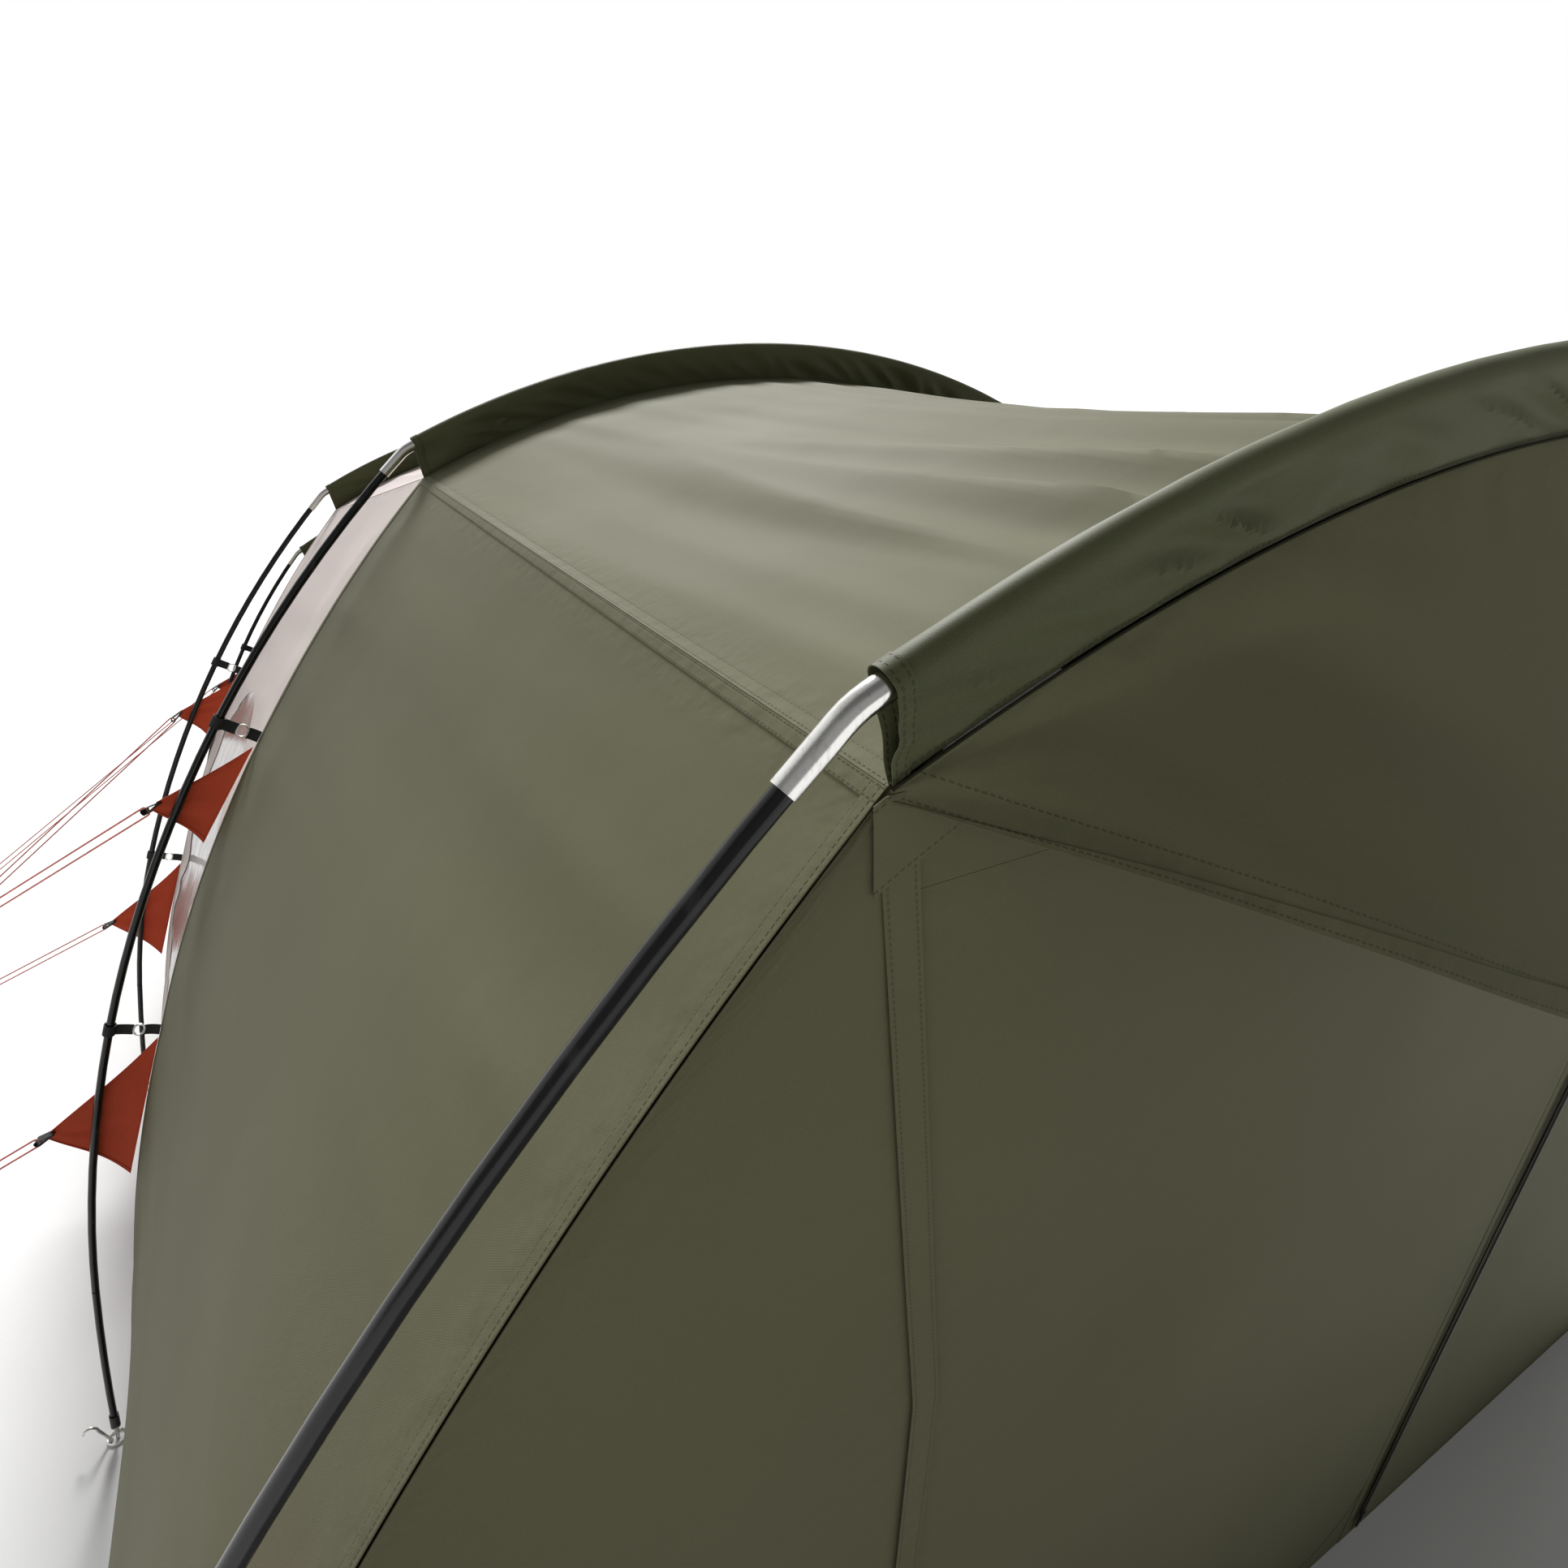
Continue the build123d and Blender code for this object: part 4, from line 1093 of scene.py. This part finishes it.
def floor_shape(u, v):
    y = sheet_front + (sheet_back - sheet_front) * v
    hoop = max(h for h in range(3) if HOOP_Y[h] <= y)
    share = (y - HOOP_Y[hoop]) / (HOOP_Y[hoop + 1] - HOOP_Y[hoop])
    half = WALLS[hoop][8].x + (WALLS[hoop + 1][8].x - WALLS[hoop][8].x) * share - 0.028
    x = half * (2 * u - 1)
    fold = abs(noise.noise(Vector((x * 3, y * 3, 60))))
    fold += 0.5 * abs(noise.noise(Vector((x * 9, y * 8, 63))))
    return x, y, 0.0012 + 0.0040 * fold * min(1, 12 * u, 12 * (1 - u), 12 * v, 12 * (1 - v))


ground_cloth = cloth("groundsheet_cloth", dye(92, 92, 90), dye(66, 66, 65), 0.5,
                     side_rows=(0.004, 0.012), end_rows=(0.004, 0.012))
piece = sew("groundsheet_cloth", floor_shape, (2.94, 3.43), (110, 120),
            (SEWN, SEWN, SEWN, SEWN), 0.0008)
hang(piece, ground_cloth, "groundsheet")


# ======== Guy points ========
# At each rod joint a strap of black webbing goes round the ferrule and holds an oval ring,
# and a tab ties the ring to the wall. Below it an orange triangle is sewn to the wall, with
# a webbing loop at its tip for the guy line.

GUYS = {"hoop_1_upper": (0, 1), "hoop_2_upper": (1, 1), "hoop_2_lower": (1, 2),
        "hoop_3_upper": (2, 1), "hoop_3_lower": (2, 2), "hoop_4_upper": (3, 1)}
TRIANGLES = {1: (0.190, 0.090, 0.8), 2: (0.300, 0.132, 0.68)}   # height, reach, apex
TRIANGLE_DROP, TRIANGLE_ASIDE = 0.022, 0.010
STRAP = 0.020
WEBBING = 0.0014
FERRULE_RADIUS = 0.0079
RING_HALF = 0.009
LOOP = 0.016
LOOP_LENGTH = 0.026
CORD_FOLD = 0.007


def joint_frame(hoop, joint, sign):
    """Frame at a rod joint: its axes go out from the tent, up the leg and along the tent."""
    x, z, slope = LEGS[hoop][0][joint]
    out = Vector((sign * sin(slope), 0, cos(slope)))
    along = Vector((0, -sign, 0))
    frame = Matrix((out, along.cross(out), along)).transposed().to_4x4()
    frame.translation = (sign * x, HOOP_Y[hoop], z)
    return frame


def triangle_shape(frame, gap, joint, aside):
    height, out, apex_share = TRIANGLES[joint]
    base, top, low = 0.0015 - gap, -TRIANGLE_DROP, -TRIANGLE_DROP - height
    tip_x, tip_y = out - gap, top - apex_share * height

    def shape(u, v):
        start = Vector((base, low + (top - low) * v, 0))
        end = Vector((tip_x, tip_y + LOOP * (v - 0.5), 0))
        spot = start.lerp(end, u)
        middle = (low + top) / 2 + (tip_y - (low + top) / 2) * u
        spot.y += (middle - spot.y) * 0.10 * sin(pi * u)
        fan = noise.noise(Vector((v * 5.5, u * 0.7, frame.translation.y * 3 + joint)))
        belly = 0.0035 * fan * sin(pi * min(1, u * 1.1)) + 0.002 * sin(pi * u)
        return frame @ Vector((spot.x, spot.y, aside + belly))
    return shape


def strap_shapes(frame, gap):
    """The strap's band, its tail to the ring and the tab from the ring to the wall."""
    inner = FERRULE_RADIUS + 0.0008
    ring = -(inner + 0.0011 + gap) / 2

    def band(u, v):
        angle = 2 * pi * u
        return frame @ Vector((inner * cos(angle), STRAP * (v - 0.5), inner * sin(angle)))

    def strip(start, end, lift):
        return lambda u, v: frame @ Vector((start + (end - start) * v, STRAP * (u - 0.5),
                                            lift * sin(pi * v)))
    return (band, strip(-inner + 0.0005, ring + RING_HALF - 0.001, 0.0008),
            strip(ring - RING_HALF + 0.001, 0.0015 - gap, 0.0015))


black_webbing = webbing("black_webbing", dye(44, 44, 44), dye(16, 16, 16))
orange_cloth = cloth("orange_cloth", dye(222, 92, 56), dye(188, 66, 40), 0.6, side_rows=(0.003,),
                     end_rows=(0.003,), crumple=0.0012, pucker=0.001)
triangles, straps, tabs, loops = [], [], [], []
for name, (hoop, joint) in GUYS.items():
    for side, sign in SIDES.items():
        frame_here = joint_frame(hoop, joint, sign)
        gap = SEAM_GAPS[joint]
        shape = triangle_shape(frame_here, gap, joint, -sign * TRIANGLE_ASIDE)
        size = (TRIANGLES[joint][1], TRIANGLES[joint][0])
        triangles.append(sew("triangle", shape, size, (28, 26), (0, 0, 0.007, 0.007), 0.0008, 0))
        band, tail, tab = strap_shapes(frame_here, gap)
        straps.append(sew("band", band, (0.056, STRAP), (36, 4), thick=WEBBING, offset=0))
        straps.append(sew("tail", tail, (STRAP, 0.01), (4, 6), thick=WEBBING, offset=0))
        tabs.append(sew("tab", tab, (STRAP, 0.02), (4, 8), thick=WEBBING, offset=0))

        ends = [Vector((-sign * x, y, z)) for x, y, z in GUY_LINES[name][1:4]]
        along = (ends[0] - ends[1]).normalized()
        across = (ends[1] - ends[2]).normalized()
        tip = (ends[1] + ends[2]) / 2 + along * (CORD_FOLD - LOOP_LENGTH)
        loop_frame = Matrix((along, across, along.cross(across))).transposed().to_4x4()
        loop_frame.translation = tip

        def tape_loop(u, v, loop_frame=loop_frame):
            """Tape from the triangle's tip out round the cord's fold and back."""
            run = LOOP_LENGTH - 0.004
            bend = min(1, max(0, (v - 0.4) / 0.2))
            if v < 0.4 or v > 0.6:
                step = v / 0.4 if v < 0.4 else (1 - v) / 0.4
                y = (1 if v < 0.4 else -1) * (0.0010 + 0.0038 * step)
                spot = (-0.010 + (run + 0.010) * step, y)
            else:
                angle = pi / 2 - pi * bend
                spot = (run + 0.0048 * cos(angle), 0.0048 * sin(angle))
            return loop_frame @ Vector((spot[0], spot[1], LOOP * (u - 0.5)))

        loops.append(sew("loop", tape_loop, (LOOP, 0.085), (4, 48), thick=0.0012, offset=0))

hang(join(triangles, "guy_triangles_cloth"), orange_cloth, "guy_triangles")
for pieces, node in ((straps, "pole_straps"), (tabs, "wall_tabs"), (loops, "guy_loops")):
    fit(join(pieces, node + "_webbing"), black_webbing, node)

feet = []
for hoop in range(4):
    x, z, slope = LEGS[hoop][0][4]
    tip_x = x + z * cos(slope) / sin(slope)
    start, end = WALLS[hoop][8].x - 0.010, tip_x - 0.0195
    for sign in SIDES.values():
        feet.append(sew("foot_strap",
                        lambda u, v: (sign * (start + (end - start) * v),
                                      HOOP_Y[hoop] + STRAP * (u - 0.5),
                                      0.0035 + 0.001 * sin(pi * v)),
                        (STRAP, 0.03), (4, 8), thick=WEBBING, offset=0))
fit(join(feet, "foot_straps_webbing"), black_webbing, "foot_webbing")
